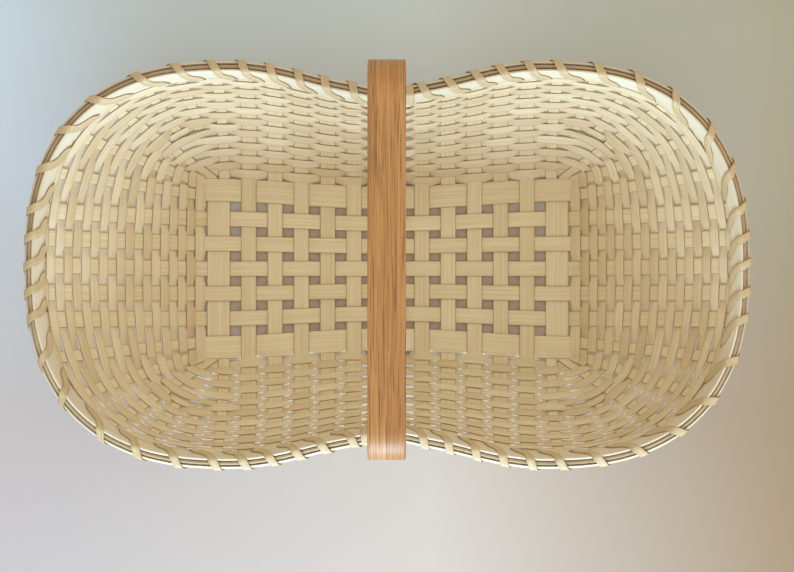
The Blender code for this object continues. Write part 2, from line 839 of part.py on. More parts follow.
def blend(one, two, part):
    """A frame between two frames, kept square."""
    along = one.along.lerp(two.along, part).normalized()
    up = one.up.lerp(two.up, part)
    up = (up - along * up.dot(along)).normalized()
    inward = along.cross(up)
    if inward.dot(one.inward) < 0:
        inward = -inward
    seat = one.seat + (two.seat - one.seat) * part
    return Edge(one.centre.lerp(two.centre, part), along, up, inward, seat)


def make_rim(name, edges, outline, finish):
    """A hoop whose section is given as distances into the basket and up the wall."""
    sections = []
    for edge in edges:
        sections.append([edge.place(0, inward, up) for inward, up in outline(edge.seat)])
    loft(name, sections, finish, closed=True)


def inner_rim_outline(seat):
    """Flat band with its top inner edge eased."""
    face = seat + INNER_RIM_THICK
    low = RIM_RISE - RIM_HEIGHT
    ease = RIM_EDGE_ROUND
    return [(seat, low), (seat, RIM_RISE), (face - ease, RIM_RISE), (face, RIM_RISE - ease), (face, low)]


def outer_rim_outline(seat):
    """Half-round strip, flat side to the wall."""
    crown = seat + OUTER_RIM_THICK
    low = RIM_RISE - OUTER_RIM_HEIGHT
    shoulder = OUTER_RIM_HEIGHT / 4
    hip = crown - OUTER_RIM_THICK / 2
    return [(-seat, RIM_RISE), (-seat, low), (-hip, low), (-crown, low + shoulder),
            (-crown, RIM_RISE - shoulder), (-hip, RIM_RISE)]


def make_filler(name, edges, finish):
    """One length of round filler in the groove, from one handle leg to the other."""
    radius = FILLER_DIAMETER / 2
    height = FILLER_LIFT + radius
    turns = [2 * math.pi * side / FILLER_SIDES for side in range(FILLER_SIDES)]
    outline = [(radius * math.cos(turn), height + radius * math.sin(turn)) for turn in turns]
    loft(name, [[edge.place(0, inward, up) for inward, up in outline] for edge in edges], finish)


def gap_edges(edges, crossings):
    """Midpoints of the gaps between uprights, each facing square to the rim between them."""
    gaps = []
    for place, group in enumerate(edges):
        following = (place + 1) % len(edges)
        one, two = group[-1], edges[following][0]
        reach = crossings[place].half if len(group) == 1 else 0
        next_reach = crossings[following].half if len(edges[following]) == 1 else 0
        chord = two.centre - one.centre
        gap = blend(one, two, (1 + (reach - next_reach) / chord.length) / 2)
        gap.along = (chord - gap.up * chord.dot(gap.up)).normalized()
        inward = gap.along.cross(gap.up)
        gap.inward = inward if inward.dot(gap.inward) > 0 else -inward
        gap.seat = max(one.seat, two.seat)
        gaps.append(gap)
    return gaps


def make_lashing(name, edges, crossings, finish):
    """Flat reed wound round the rims, one wrap in each gap between uprights."""
    stand_off = TOUCH_GAP + LASHING_THICK / 2
    over = FILLER_LIFT + FILLER_DIAMETER + stand_off + RIM_EASE
    under = RIM_RISE - RIM_HEIGHT - SLOT_HEIGHT / 2 - ROW_GAP / 2
    side = LASHING_WIDTH / 2
    skin = LASHING_THICK / 2
    gaps = gap_edges(edges, crossings)
    sections = []
    for place, gap in enumerate(gaps):
        following = (place + 1) % len(gaps)
        outer_top = inner_top = gaps[following]
        if len(edges[following]) == 1:
            outer_top = edges[following][0]
            inner_top = blend(outer_top, gaps[following], LASHING_TOP_SHARE)
        corners = (
            (gap, 1, under, -1), (gap, -1, under, -1), (outer_top, -1, over, 1), (inner_top, 1, over, 1),
        )
        for edge, way, up, level in corners:
            rim_thick = INNER_RIM_THICK if way > 0 else OUTER_RIM_THICK + LASHING_SLACK
            inward = way * (edge.seat + rim_thick + stand_off)
            inner = (inward - skin * way, up - skin * level)
            outer = (inward + skin * way, up + skin * level)
            sections.append([
                edge.place(-side, *inner), edge.place(side, *inner),
                edge.place(side, *outer), edge.place(-side, *outer),
            ])
    loft(name, sections, finish, closed=True)


# The handle

def hoop_section(centre, across, through, width, thick):
    """Flat bar with eased corners."""
    ease = min(HOOP_EDGE_ROUND, thick / 3)
    half = width / 2
    face = thick / 2
    outline = [(-half + ease, -face), (half - ease, -face), (half, -face + ease), (half, face - ease),
               (half - ease, face), (-half + ease, face), (-half, face - ease), (-half, -face + ease)]
    return [centre + across * one + through * two for one, two in outline]


def make_handle(name, by_key, finish):
    """The bent oak hoop: foot through the base, legs up the waist, square-shouldered grip."""
    across = Vector((1, 0, 0))
    halves = []
    for side_y in (1, -1):
        leg = by_key["handle", 0, 1, side_y]
        fold = fold_through(leg.up(0), across)
        sections = [hoop_section(leg.knots[0], across, fold, HOOP_WIDTH, HOOP_WOVEN_THICK)]
        for knot, through in zip(leg.knots[1:], leg.throughs):
            sections.append(hoop_section(knot, across, through, HOOP_WIDTH, HOOP_WOVEN_THICK))
        level = Vector((0, -side_y, 0))
        leave = leg.top + leg.up(leg.length) * (RIM_RISE + TOUCH_GAP)
        sections[-1] = hoop_section(leave, across, leg.throughs[-1], HOOP_WIDTH, HOOP_WOVEN_THICK)
        shoulder = leave + Vector((0, 0, 3 * TOUCH_GAP + HOOP_THICK))
        sections.append(hoop_section(shoulder, across, level, HOOP_WIDTH, HOOP_THICK))
        turn_radius = HOOP_CORNER_RADIUS - HOOP_THICK / 2
        turn_y = side_y * (HOOP_HALF_SPAN - HOOP_CORNER_RADIUS)
        turn_centre = Vector((0, turn_y, HOOP_HEIGHT - HOOP_CORNER_RADIUS))
        for step in range(HOOP_CORNER_STEPS + 1):
            turn = math.pi / 2 * step / HOOP_CORNER_STEPS
            out = Vector((0, side_y * math.cos(turn), math.sin(turn)))
            place = turn_centre + out * turn_radius
            sections.append(hoop_section(place, across, -out, HOOP_WIDTH, HOOP_THICK))
        halves.append(sections)
    loft(name, halves[0] + list(reversed(halves[1])), finish, closed=True)


def make_basket():
    """Build every piece and join nothing: each strip is its own object."""
    clear_scene()
    stake_reed = material("stake_reed", REED_COLOUR, REED_ROUGHNESS)
    weaver_reed = material("weaver_reed", WEAVER_COLOUR, REED_ROUGHNESS)
    rim_reed = material("rim_reed", RIM_COLOUR, REED_ROUGHNESS)
    dark_strand = material("filler_strand", FILLER_COLOUR, REED_ROUGHNESS)
    oak = material("handle_oak", OAK_COLOUR, OAK_ROUGHNESS)

    uprights = make_uprights()
    by_key = {upright.key: upright for upright in uprights}
    wide_folds = fold_uprights(by_key)

    make_handle("handle_hoop", by_key, oak)

    for side_x, end in ((-1, "left"), (1, "right")):
        for number in range(1, CROSS_STAKES_PER_HALF):
            far = by_key["stake", number, side_x, 1]
            near = by_key["stake", number, side_x, -1]
            make_cross_stake(f"cross_stake_{end}_{number}", far, near, stake_reed)
        edge_name = f"cross_stake_{end}_{CROSS_STAKES_PER_HALF}"
        make_edge_cross_stake(edge_name, by_key, wide_folds, side_x, stake_reed)

    make_long_stake("long_stake_middle", 0, 1, by_key, stake_reed)
    for side_y, side in ((-1, "front"), (1, "back")):
        for number in range(1, LONG_STAKES_PER_SIDE):
            make_long_stake(f"long_stake_{side}_{number}", number, side_y, by_key, stake_reed)
        edge_name = f"long_stake_{side}_{LONG_STAKES_PER_SIDE}"
        make_edge_long_stake(edge_name, side_y, by_key, wide_folds, stake_reed)

    for side_x, end in ((-1, "left"), (1, "right")):
        for side_y, side in ((-1, "front"), (1, "back")):
            for number in range(len(SPOKE_TOP_SHARES)):
                spoke = by_key["spoke", number, side_x, side_y]
                make_spoke(f"corner_spoke_{side}_{end}_{number + 1}", spoke, stake_reed)

    for row in range(1, WALL_ROWS + 1):
        make_row(f"weaver_row_{row:02d}", uprights, row, weaver_reed)
    crossings = make_row("rim_row", uprights, RIM_ROW, weaver_reed)

    edges = rim_edges(crossings)
    hoop = [edge for group in edges for edge in group]
    make_rim("inner_rim", hoop, inner_rim_outline, rim_reed)
    make_rim("outer_rim", hoop, outer_rim_outline, rim_reed)
    other_leg = len(edges) // 2
    right_side = [edge for group in edges[1:other_leg] for edge in group]
    left_side = [edge for group in edges[other_leg + 1:] for edge in group]
    make_filler("rim_filler_right", [edges[0][-1]] + right_side + [edges[other_leg][0]], dark_strand)
    make_filler("rim_filler_left", [edges[other_leg][-1]] + left_side + [edges[0][0]], dark_strand)
    make_lashing("rim_lashing", edges, crossings, rim_reed)
    print(f"rims sit {edges[1][0].seat / MM:.2f} mm from the wall's middle surface")


make_basket()
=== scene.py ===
# %% [markdown]
# A gathering basket woven of flat reed
#
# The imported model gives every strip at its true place: stakes, weaver rows, rims and
# the oak hoop. This lesson dresses that frame. Each strip is read from its solid as
# two long edges, smoothed, given a crowned face and real thickness, and finished with
# reed that has its own grain. Lengths are in metres unless a name says otherwise.

import math

import bmesh
import bpy
import numpy as np
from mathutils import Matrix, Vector
from mathutils.bvhtree import BVHTree


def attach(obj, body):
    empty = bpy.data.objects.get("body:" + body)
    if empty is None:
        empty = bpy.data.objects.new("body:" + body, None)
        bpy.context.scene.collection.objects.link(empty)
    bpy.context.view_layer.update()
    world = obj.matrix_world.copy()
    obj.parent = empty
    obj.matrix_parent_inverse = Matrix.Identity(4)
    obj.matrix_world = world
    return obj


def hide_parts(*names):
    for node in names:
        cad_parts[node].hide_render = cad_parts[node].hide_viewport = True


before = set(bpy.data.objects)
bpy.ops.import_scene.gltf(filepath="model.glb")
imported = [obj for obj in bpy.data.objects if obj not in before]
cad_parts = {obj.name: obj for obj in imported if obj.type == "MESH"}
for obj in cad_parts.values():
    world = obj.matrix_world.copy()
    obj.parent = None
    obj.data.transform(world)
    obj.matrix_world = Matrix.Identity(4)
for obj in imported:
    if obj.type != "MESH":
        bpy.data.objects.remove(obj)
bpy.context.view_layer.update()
MM = 0.001
BODY = "root"

# %% [markdown]
# The camera
#
# The photograph looks straight down from standing height. The height follows from how
# much smaller the base looks than the rim, and the lens from the width of the reeds.
# The point below the lens lies a little in front of the handle, so the long wall at
# the front shows less of its inner face than the one at the back.

# %% Camera
CAMERA_HEIGHT = 1.400
CAMERA_FOOT = Vector((0.0038, -0.0304, 0))
CAMERA_AIM = Vector((0.0076, -0.0145, 0.003))
LENS_MM = 75.8
SENSOR_MM = 36.0


def add_camera():
    """A camera above the basket, looking almost straight down."""
    bpy.ops.object.camera_add(location=CAMERA_FOOT + Vector((0, 0, CAMERA_HEIGHT)))
    camera = bpy.context.object
    camera.name = "view_from_above"
    camera.data.lens = LENS_MM
    camera.data.sensor_width = SENSOR_MM
    look = CAMERA_AIM - camera.location
    camera.rotation_euler = (math.atan2(look.y, -look.z), -math.atan2(look.x, -look.z), 0)
    bpy.context.scene.camera = camera


add_camera()
bpy.context.scene.view_settings.view_transform = "Standard"
print("camera at", [round(value, 4) for value in bpy.context.scene.camera.location])

# %% [markdown]
# Floor and light
#
# The basket stands on a pale matt table by a window. The window is in front, low and
# cool, so the back wall is the palest and every float there throws a thin shadow.
# The room fills the rest with a warmer light.

# %% Material helpers
def new_material(name):
    """An empty node material, with its node tree and its Principled shader."""
    finish = bpy.data.materials.new(name)
    finish.use_nodes = True
    return finish, finish.node_tree, finish.node_tree.nodes["Principled BSDF"]


def add_node(tree, kind, **settings):
    """One node, with its settings and its inputs' values."""
    node = tree.nodes.new("ShaderNode" + kind)
    for key, value in settings.items():
        if hasattr(node, key):
            setattr(node, key, value)
        else:
            node.inputs[key.replace("_", " ")].default_value = value
    return node


def ramp(tree, source, stops):
    """A colour ramp fed by a socket; stops are (place, colour)."""
    node = tree.nodes.new("ShaderNodeValToRGB")
    elements = node.color_ramp.elements
    while len(elements) < len(stops):
        elements.new(0.5)
    for element, (place, colour) in zip(elements, stops):
        element.position = place
        element.color = (*colour, 1)
    tree.links.new(source, node.inputs["Fac"])
    return node.outputs["Color"]


def mix(tree, first, second, share, blend="MIX"):
    """Mix two colours by a share; each may be a socket or a plain value."""
    node = tree.nodes.new("ShaderNodeMix")
    node.data_type = "RGBA"
    node.blend_type = blend
    for socket, value in ((node.inputs[0], share), (node.inputs[6], first), (node.inputs[7], second)):
        if isinstance(value, bpy.types.NodeSocket):
            tree.links.new(value, socket)
        elif isinstance(value, (int, float)):
            socket.default_value = value
        else:
            socket.default_value = (*value, 1)
    return node.outputs[2]


# %% Floor
FLOOR_SIZE = 8.0
FLOOR_COOL = (0.51, 0.475, 0.48)
FLOOR_MIDDLE = (0.585, 0.53, 0.50)
FLOOR_WARM = (0.335, 0.248, 0.155)
# Painted shade under the basket: the table is darker and warmer there.
FLOOR_SHADE_UNDER = (0.47, 0.38, 0.31)
# Painted light: the table is paler behind the basket, where the basket's own shadow from the window falls.
FLOOR_LIGHT_BEHIND = (1.14, 1.47, 1.68)
WHITE = (1, 1, 1)
BLACK = (0, 0, 0)
COOL_TO_WARM = (-0.35, 0.35)
COOL_PLACE = 0.1
MIDDLE_PLACE = 0.55
FRONT_TO_BACK = (-0.12, 0.2)
UNDER_OVAL = 1.9
UNDER_EDGE = (0.12, 0.22)
TABLE_ROUGHNESS = 0.8


def spread_over(tree, socket, low, high):
    """A coordinate as a share between two places."""
    node = add_node(tree, "MapRange", From_Min=low, From_Max=high)
    tree.links.new(socket, node.inputs["Value"])
    return node.outputs[0]


def floor_finish():
    """Matt table top: cool on the left, browner on the right, with painted light behind the basket and
    painted shade under it.
    """
    finish, tree, shader = new_material("table_top")
    place = add_node(tree, "TexCoord")
    apart = add_node(tree, "SeparateXYZ")
    tree.links.new(place.outputs["Object"], apart.inputs[0])
    across = spread_over(tree, apart.outputs["X"], *COOL_TO_WARM)
    colour = ramp(tree, across, ((COOL_PLACE, FLOOR_COOL), (MIDDLE_PLACE, FLOOR_MIDDLE), (1, FLOOR_WARM)))
    # Painted light behind the basket, which lightens the table where the basket's shadow falls.
    backward = spread_over(tree, apart.outputs["Y"], *FRONT_TO_BACK)
    behind = ramp(tree, backward, ((0, WHITE), (1, FLOOR_LIGHT_BEHIND)))
    colour = mix(tree, colour, behind, 1.0, "MULTIPLY")
    # Painted shade under the basket, fading out in an oval round its middle.
    oval = add_node(tree, "Mapping", Scale=(1, UNDER_OVAL, 1))
    tree.links.new(place.outputs["Object"], oval.inputs["Vector"])
    length = add_node(tree, "VectorMath")
    length.operation = "LENGTH"
    tree.links.new(oval.outputs["Vector"], length.inputs[0])
    outward = spread_over(tree, length.outputs["Value"], *UNDER_EDGE)
    under = ramp(tree, outward, ((0, WHITE), (1, BLACK)))
    colour = mix(tree, colour, FLOOR_SHADE_UNDER, under)
    tree.links.new(colour, shader.inputs["Base Color"])
    shader.inputs["Roughness"].default_value = TABLE_ROUGHNESS
    return finish


bpy.ops.object.select_all(action="DESELECT")
bpy.ops.mesh.primitive_plane_add(size=FLOOR_SIZE)
floor = bpy.context.object
floor.name = "table"
floor.data.materials.append(floor_finish())
print("table of", FLOOR_SIZE, "m")

# %% Lights
WORLD_WARM = (0.42, 0.28, 0.12)
WORLD_ABOVE = (1.16, 1.09, 0.97)
WORLD_COOL = (0.48, 0.45, 0.38)
WORLD_STRENGTH = 0.96
WINDOW_COLOUR = (0.56, 0.78, 1.0)
WINDOW_POWER = 43
WINDOW_PLACE = Vector((0, -1.6, 0.6))
WINDOW_SIZE = 0.9
GLOW_COLOUR = (1.0, 0.72, 0.5)
GLOW_POWER = 3
GLOW_PLACE = Vector((1.3, 0.2, 0.5))
LIGHT_AIM = Vector((0, 0, 0.08))


def area_light(name, place, colour, power, size):
    """A square lamp that faces the basket."""
    bpy.ops.object.light_add(type="AREA", location=place)
    lamp = bpy.context.object
    lamp.name = name
    lamp.data.color = colour
    lamp.data.energy = power
    lamp.data.size = size
    lamp.rotation_euler = (LIGHT_AIM - place).to_track_quat("-Z", "Y").to_euler()


world = bpy.data.worlds.new("room")
bpy.context.scene.world = world
world.use_nodes = True
room = world.node_tree.nodes["Background"]
around = world.node_tree.nodes.new("ShaderNodeTexCoord")
apart = add_node(world.node_tree, "SeparateXYZ")
world.node_tree.links.new(around.outputs["Generated"], apart.inputs[0])
to_side = spread_over(world.node_tree, apart.outputs["X"], -1, 1)
room_stops = ((0, WORLD_WARM), (0.5, WORLD_ABOVE), (1, WORLD_COOL))
room_colour = ramp(world.node_tree, to_side, room_stops)
world.node_tree.links.new(room_colour, room.inputs["Color"])
room.inputs["Strength"].default_value = WORLD_STRENGTH
area_light("window", WINDOW_PLACE, WINDOW_COLOUR, WINDOW_POWER, WINDOW_SIZE)
area_light("warm_side", GLOW_PLACE, GLOW_COLOUR, GLOW_POWER, WINDOW_SIZE)
print("lamps of", WINDOW_POWER, "and", GLOW_POWER, "W, and the room")

# %% [markdown]
# Reed
#
# Flat reed is split from rattan: pale straw, dry, with fine fibres along its length
# and slow changes of tone from strip to strip. A fibre is a thread some hundred times
# longer than wide, so the noise that makes it is stretched along the strip. For that
# each strip carries a UV map in metres, U along and V across, and a tone of its own.

# %% Reed material
FIBRE_SCALE = (22, 2300, 1)
FIBRE_DETAIL = 4
GRAIN_SCALE = (5, 520, 1)
GRAIN_DETAIL = 3
NOISE_ROUGHNESS = 0.6
STREAK_FROM, STREAK_FULL = 0.35, 0.7
STREAK_SHARE = 0.8
THREADS = ((0.38, (0.86, 0.82, 0.75)), (0.52, WHITE), (0.75, (1.06, 1.05, 1.03)))
THREAD_SHARE = 0.55
# Painted shade along each strip's long edges: full out to the first share of the width, gone by the second.
EDGE_SHADE_FULL, EDGE_SHADE_FADE = 0.022, 0.055
BUMP_DEPTH = 0.2 * MM
REED_BUMP = 0.35


def stretched_noise(tree, scale, detail, bend=0):
    """Noise on the strip's own UV map, drawn out along it."""
    place = add_node(tree, "UVMap", uv_map="reed")
    drawn = add_node(tree, "Mapping", Scale=scale)
    tree.links.new(place.outputs["UV"], drawn.inputs["Vector"])
    noise = add_node(tree, "TexNoise", Scale=1, Detail=detail, Roughness=NOISE_ROUGHNESS, Distortion=bend)
    tree.links.new(drawn.outputs["Vector"], noise.inputs["Vector"])
    return noise.outputs["Fac"]


def reed_finish(name, pale, deep, streak, roughness, edge_shade_colour=WHITE):
    """Dry reed: two scales of fibre, the strip's own tone, painted shade along its long edges and a fine
    bump.
    """
    finish, tree, shader = new_material(name)
    fibre = stretched_noise(tree, FIBRE_SCALE, FIBRE_DETAIL)
    grain = stretched_noise(tree, GRAIN_SCALE, GRAIN_DETAIL)
    tone = add_node(tree, "Attribute", attribute_name="tone").outputs["Fac"]
    body = mix(tree, pale, deep, tone)
    streaks = ramp(tree, grain, ((STREAK_FROM, WHITE), (STREAK_FULL, streak)))
    colour = mix(tree, body, streaks, STREAK_SHARE, "MULTIPLY")
    threads = ramp(tree, fibre, THREADS)
    colour = mix(tree, colour, threads, THREAD_SHARE, "MULTIPLY")
    # Painted shade: darker towards the strip's long edges, in place of the shade in the narrow gaps between
    # strips.
    inside = add_node(tree, "Attribute", attribute_name="edge").outputs["Fac"]
    cut = ramp(tree, inside, ((0, edge_shade_colour), (EDGE_SHADE_FULL, edge_shade_colour), (EDGE_SHADE_FADE, WHITE)))
    colour = mix(tree, colour, cut, 1.0, "MULTIPLY")
    tree.links.new(colour, shader.inputs["Base Color"])
    shader.inputs["Roughness"].default_value = roughness
    bump = add_node(tree, "Bump", Strength=REED_BUMP, Distance=BUMP_DEPTH)
    tree.links.new(fibre, bump.inputs["Height"])
    tree.links.new(bump.outputs["Normal"], shader.inputs["Normal"])
    return finish


# Colour of the painted shade along the long edges of stakes and rows.
PAINTED_EDGE_SHADE = (0.64, 0.52, 0.38)
STAKE_REED = reed_finish("stake_reed_dry", pale=(0.86, 0.77, 0.56), deep=(0.77, 0.67, 0.45),
                         streak=(0.86, 0.80, 0.66), roughness=0.62, edge_shade_colour=PAINTED_EDGE_SHADE)
WEAVER_REED = reed_finish("weaver_reed_dry", pale=(0.86, 0.78, 0.59), deep=(0.70, 0.58, 0.38),
                          streak=(0.88, 0.82, 0.70), roughness=0.48, edge_shade_colour=PAINTED_EDGE_SHADE)
RIM_REED = reed_finish("rim_reed_smooth", pale=(0.74, 0.695, 0.56), deep=(0.68, 0.61, 0.44),
                       streak=(0.90, 0.85, 0.76), roughness=0.5)
# The lashing's long edges carry a lighter painted shade of their own.
LASHING_REED = reed_finish("lashing_reed_dry", pale=(0.70, 0.60, 0.40), deep=(0.60, 0.48, 0.29),
                           streak=(0.80, 0.72, 0.58), roughness=0.55, edge_shade_colour=(0.72, 0.60, 0.45))
print("finishes", [finish.name for finish in (STAKE_REED, WEAVER_REED, RIM_REED, LASHING_REED)])

# %% [markdown]
# Reading a strip from its solid
#
# A strip's solid has one broad face that looks into the basket. Walking from face to
# face, and stopping at the strip's edges, collects just that side. On a stake the walk
# stops where two faces meet squarely. A woven row folds too sharply for that, so there
# it stops at faces that are as narrow as the reed is thick. The border that is left,
# without the cut ends, is the strip's two long edges: the rails that all else follows.

# %% Rails
MERGE = 0.01 * MM
RING_MERGE = 0.4 * MM
SQUARE_EDGE = math.radians(70)
NARROW = 0.95 * MM
CAP_FACES = 2


def gentle(edge):
    """A fold in a stake, not its square edge."""
    return edge.calc_face_angle(math.pi) < SQUARE_EDGE


def same_breadth(edge):
    """Two broad faces, or two narrow ones."""
    narrow = [min(side.calc_length() for side in face.edges) < NARROW for face in edge.link_faces]
    return narrow[0] == narrow[1]


def smooth_patches(node, joined, merge=MERGE):
    """A solid's faces in groups, from face to face across the edges that join them."""
    solid = bmesh.new()
    solid.from_mesh(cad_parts[node].data)
    bmesh.ops.remove_doubles(solid, verts=solid.verts, dist=merge)
    solid.normal_update()
    patch_of = {}
    patches = []
    for first in solid.faces:
        if first in patch_of:
            continue
        patch = [first]
        patch_of[first] = len(patches)
        for face in patch:
            for edge in face.edges:
                for other in edge.link_faces:
                    if other not in patch_of and joined(edge):
                        patch_of[other] = len(patches)
                        patch.append(other)
        patches.append(patch)
    return solid, patches, patch_of


def upward(patch):
    """How much of a patch looks up."""
    return sum(face.calc_area() * face.normal.z for face in patch)


def border_chains(patch, patches, patch_of):
    """The patch's long edges as runs of corners; cut ends are left out."""
    near = {}
    mine = patch_of[patch[0]]
    for face in patch:
        for edge in face.edges:
            beyond = [other for other in edge.link_faces if patch_of[other] != mine]
            if beyond and len(patches[patch_of[beyond[0]]]) > CAP_FACES:
                one, two = edge.verts
                near.setdefault(one, []).append(two)
                near.setdefault(two, []).append(one)
    chains = []
    used = set()
    starts = [vert for vert in near if len(near[vert]) == 1]
    for start in starts + list(near):
        if start in used:
            continue
        chain = [start]
        used.add(start)
        while True:
            onward = [vert for vert in near[chain[-1]] if vert not in used]
            if not onward:
                break
            chain.append(onward[0])
            used.add(onward[0])
        chains.append(chain)
    return chains


def places(chain):
    """Corners as an array."""
    return np.array([vert.co[:] for vert in chain])


def thin_out(ring, count):
    """The ring without its flattest corners, until so many are left."""
    while len(ring) > count:
        back, ahead = ring - np.roll(ring, 1, axis=0), np.roll(ring, -1, axis=0) - ring
        ring = np.delete(ring, np.linalg.norm(np.cross(back, ahead), axis=1).argmin(), axis=0)
    return ring


def pair_rings(one, two):
    """Both rings with as many corners, the second turned so that its corners lie beside the first's."""
    one, two = thin_out(one, len(two)), thin_out(two, len(one))
    best = None
    for trial in (two, two[::-1]):
        for turn in range(len(trial)):
            rolled = np.roll(trial, turn, axis=0)
            apart = np.linalg.norm(rolled - one, axis=1).sum()
            if best is None or apart < best[0]:
                best = (apart, rolled)
    return one, best[1]


def beside(point, chain):
    """The chain, reversed if its other end lies nearer to the point."""
    turned = np.linalg.norm(chain[-1] - point) < np.linalg.norm(chain[0] - point)
    return chain[::-1] if turned else chain


def strip_rails(node, ring=False, joined=None, choose=upward):
    """Rails of a strip's chosen face, as an array [station, rail, xyz]."""
    joined = joined or (same_breadth if ring else gentle)
    solid, patches, patch_of = smooth_patches(node, joined, RING_MERGE if ring else MERGE)
    patch = max(patches, key=choose)
    runs = [places(chain) for chain in border_chains(patch, patches, patch_of)]
    solid.free()
    if ring:
        return np.stack(pair_rings(*runs), axis=1)
    if len(runs) == 2:
        return np.stack((runs[0], beside(runs[0][0], runs[1])), axis=1)
    return forked_rails(runs)


def forked_rails(runs):
    """Four rails for a strip whose ends are split: two ribbons that share a middle line."""
    runs = sorted(runs, key=len)
    splits, outers = runs[:2], [runs[2], beside(runs[2][0], runs[3])]
    middle = (outers[0] + outers[1]) / 2
    inners = [middle.copy(), middle.copy()]
    for outer, inner in zip(outers, inners):
        for corner, step in ((0, 1), (-1, -1)):
            split = min(splits, key=lambda run: min(np.linalg.norm(run[[0, -1]] - outer[corner], axis=1)))
            tail = beside(outer[corner], split)[:len(split) // 2 + 1]
            inner[::step][:len(tail)] = tail
    return np.stack((outers[0], inners[0], inners[1], outers[1]), axis=1)


print("a plain stake's rails", strip_rails("cross_stake_left_1").shape)
print("a split stake's rails", strip_rails("long_stake_back_3").shape)
print("a woven row's rails", strip_rails("weaver_row_10", ring=True).shape)

# %% [markdown]
# Bends
#
# The solid's rails are straight from corner to corner. Reed doesn't fold like that: it
# is woven wet and dries in soft bends. A stake keeps its straight runs, so its corners
# are only eased, each by a short curve. A woven row has no straight run at all, and a
# smooth curve through its corners gives the wave that it lies in.

# %% Eased corners and waves
HALF_SHARE = 0.48
EASE_STEPS = 5
WAVE_STEPS = 6
LONGEST_STEP = 6 * MM


def middle_gaps(rails, ring=False):
    """Lengths between stations, along the middle of the strip."""
    middle = rails.mean(axis=1)
    if ring:
        middle = np.concatenate((middle, middle[:1]))
    return np.linalg.norm(np.diff(middle, axis=0), axis=1)


def eased(rails, ease):
    """Each corner becomes a short curve; the ends stay."""
    gaps = middle_gaps(rails)
    curve = [rails[0]]
    for here in range(1, len(rails) - 1):
        corner = rails[here]
        back = corner + (rails[here - 1] - corner) * min(ease / gaps[here - 1], HALF_SHARE)
        ahead = corner + (rails[here + 1] - corner) * min(ease / gaps[here], HALF_SHARE)
        for share in np.linspace(0, 1, EASE_STEPS):
            curve.append((1 - share) ** 2 * back + 2 * share * (1 - share) * corner + share ** 2 * ahead)
    curve.append(rails[-1])
    return filled(np.array(curve))


def filled(rails):
    """Long steps are cut into shorter ones."""
    curve = [rails[:1]]
    for here, gap in enumerate(middle_gaps(rails)):
        cuts = max(1, math.ceil(gap / LONGEST_STEP))
        shares = np.linspace(0, 1, cuts + 1)[1:, None, None]
        curve.append(rails[here] * (1 - shares) + rails[here + 1] * shares)
    return np.concatenate(curve)


def through(rails, steps=WAVE_STEPS):
    """A smooth closed curve through every station."""
    gaps = middle_gaps(rails, ring=True)[:, None, None]
    slope = (np.roll(rails, -1, axis=0) - rails) / gaps
    before, gap_before = np.roll(slope, 1, axis=0), np.roll(gaps, 1, axis=0)
    tangent = (before * gaps + slope * gap_before) / (gaps + gap_before)
    onward, tangent_onward = np.roll(rails, -1, axis=0), np.roll(tangent, -1, axis=0)
    curve = []
    for share in np.linspace(0, 1, steps, endpoint=False):
        s2, s3 = share ** 2, share ** 3
        curve.append((2 * s3 - 3 * s2 + 1) * rails + (s3 - 2 * s2 + share) * gaps * tangent
                     + (3 * s2 - 2 * s3) * onward + (s3 - s2) * gaps * tangent_onward)
    return np.stack(curve, axis=1).reshape(-1, *rails.shape[1:])


# %% [markdown]
# From rails to reed
#
# Between its rails a ribbon gets a few columns of points, the middle ones a hair higher:
# split rattan is a little crowned on the side of its bark. Solidify gives the reed its
# thickness away from that face, and Bevel takes the sharpness off its edges. The UV map
# follows the ribbon in metres, so the fibres run round every bend.

# %% Ribbons
COLUMNS = 5
EDGE_BEVEL = 0.14 * MM
BEVEL_ANGLE = math.radians(55)
SMOOTH_ANGLE = math.radians(40)
UV_SPREAD = 40.0
SEAM = 0.06 * MM
LUCK_START = 7
DRIFT_WAVES = 4
DRIFT_SPREAD = (0.4, 1.6)
DRIFT_GAIN = 1.6
TONE_RANGE = (0.15, 0.85)
TONE_DRIFT = 0.15
TONE_WAVE = 120 * MM


def luck(name):
    """Random numbers of a piece's own, the same at each run."""
    letters = enumerate(name.encode(), LUCK_START)
    return np.random.default_rng(sum(place * letter for place, letter in letters))


def unit(vectors):
    """Vectors of length one."""
    return vectors / np.linalg.norm(vectors, axis=-1, keepdims=True)


def facing(grid, ring):
    """Unit normals of a grid of points, along times across."""
    along = np.gradient(grid, axis=0)
    if ring:
        along = np.roll(grid, -1, axis=0) - np.roll(grid, 1, axis=0)
    return unit(np.cross(along, np.gradient(grid, axis=1)))


def slow_drift(chance, distance, wavelength):
    """A gentle random curve along a strip, between about -1 and 1."""
    waves = chance.uniform(*DRIFT_SPREAD, DRIFT_WAVES) / wavelength
    turns = chance.uniform(0, math.tau, DRIFT_WAVES)
    return np.sin(distance[:, None] * waves * math.tau + turns).mean(axis=1) * DRIFT_GAIN


def ribbon(rails, crown, ring=False, crown_at=0.5, face_up=True):
    """Points, lengths along and widths across of one ribbon that faces up."""
    ahead = np.gradient(rails.mean(axis=1), axis=0)
    if face_up and np.cross(ahead, rails[:, 1] - rails[:, 0])[:, 2].sum() < 0:
        rails = rails[:, ::-1]
        crown_at = 1 - crown_at
    shares = np.linspace(0, 1, COLUMNS)[None, :, None]
    grid = rails[:, :1] * (1 - shares) + rails[:, 1:] * shares
    reach = max(crown_at, 1 - crown_at)
    grid = grid + facing(grid, ring) * crown * (1 - ((shares - crown_at) / reach) ** 2)
    along = np.concatenate(([0], np.cumsum(middle_gaps(rails, ring))))
    width = np.linalg.norm(rails[:, 1] - rails[:, 0], axis=1).mean()
    return grid, along, np.linspace(0, width, COLUMNS)


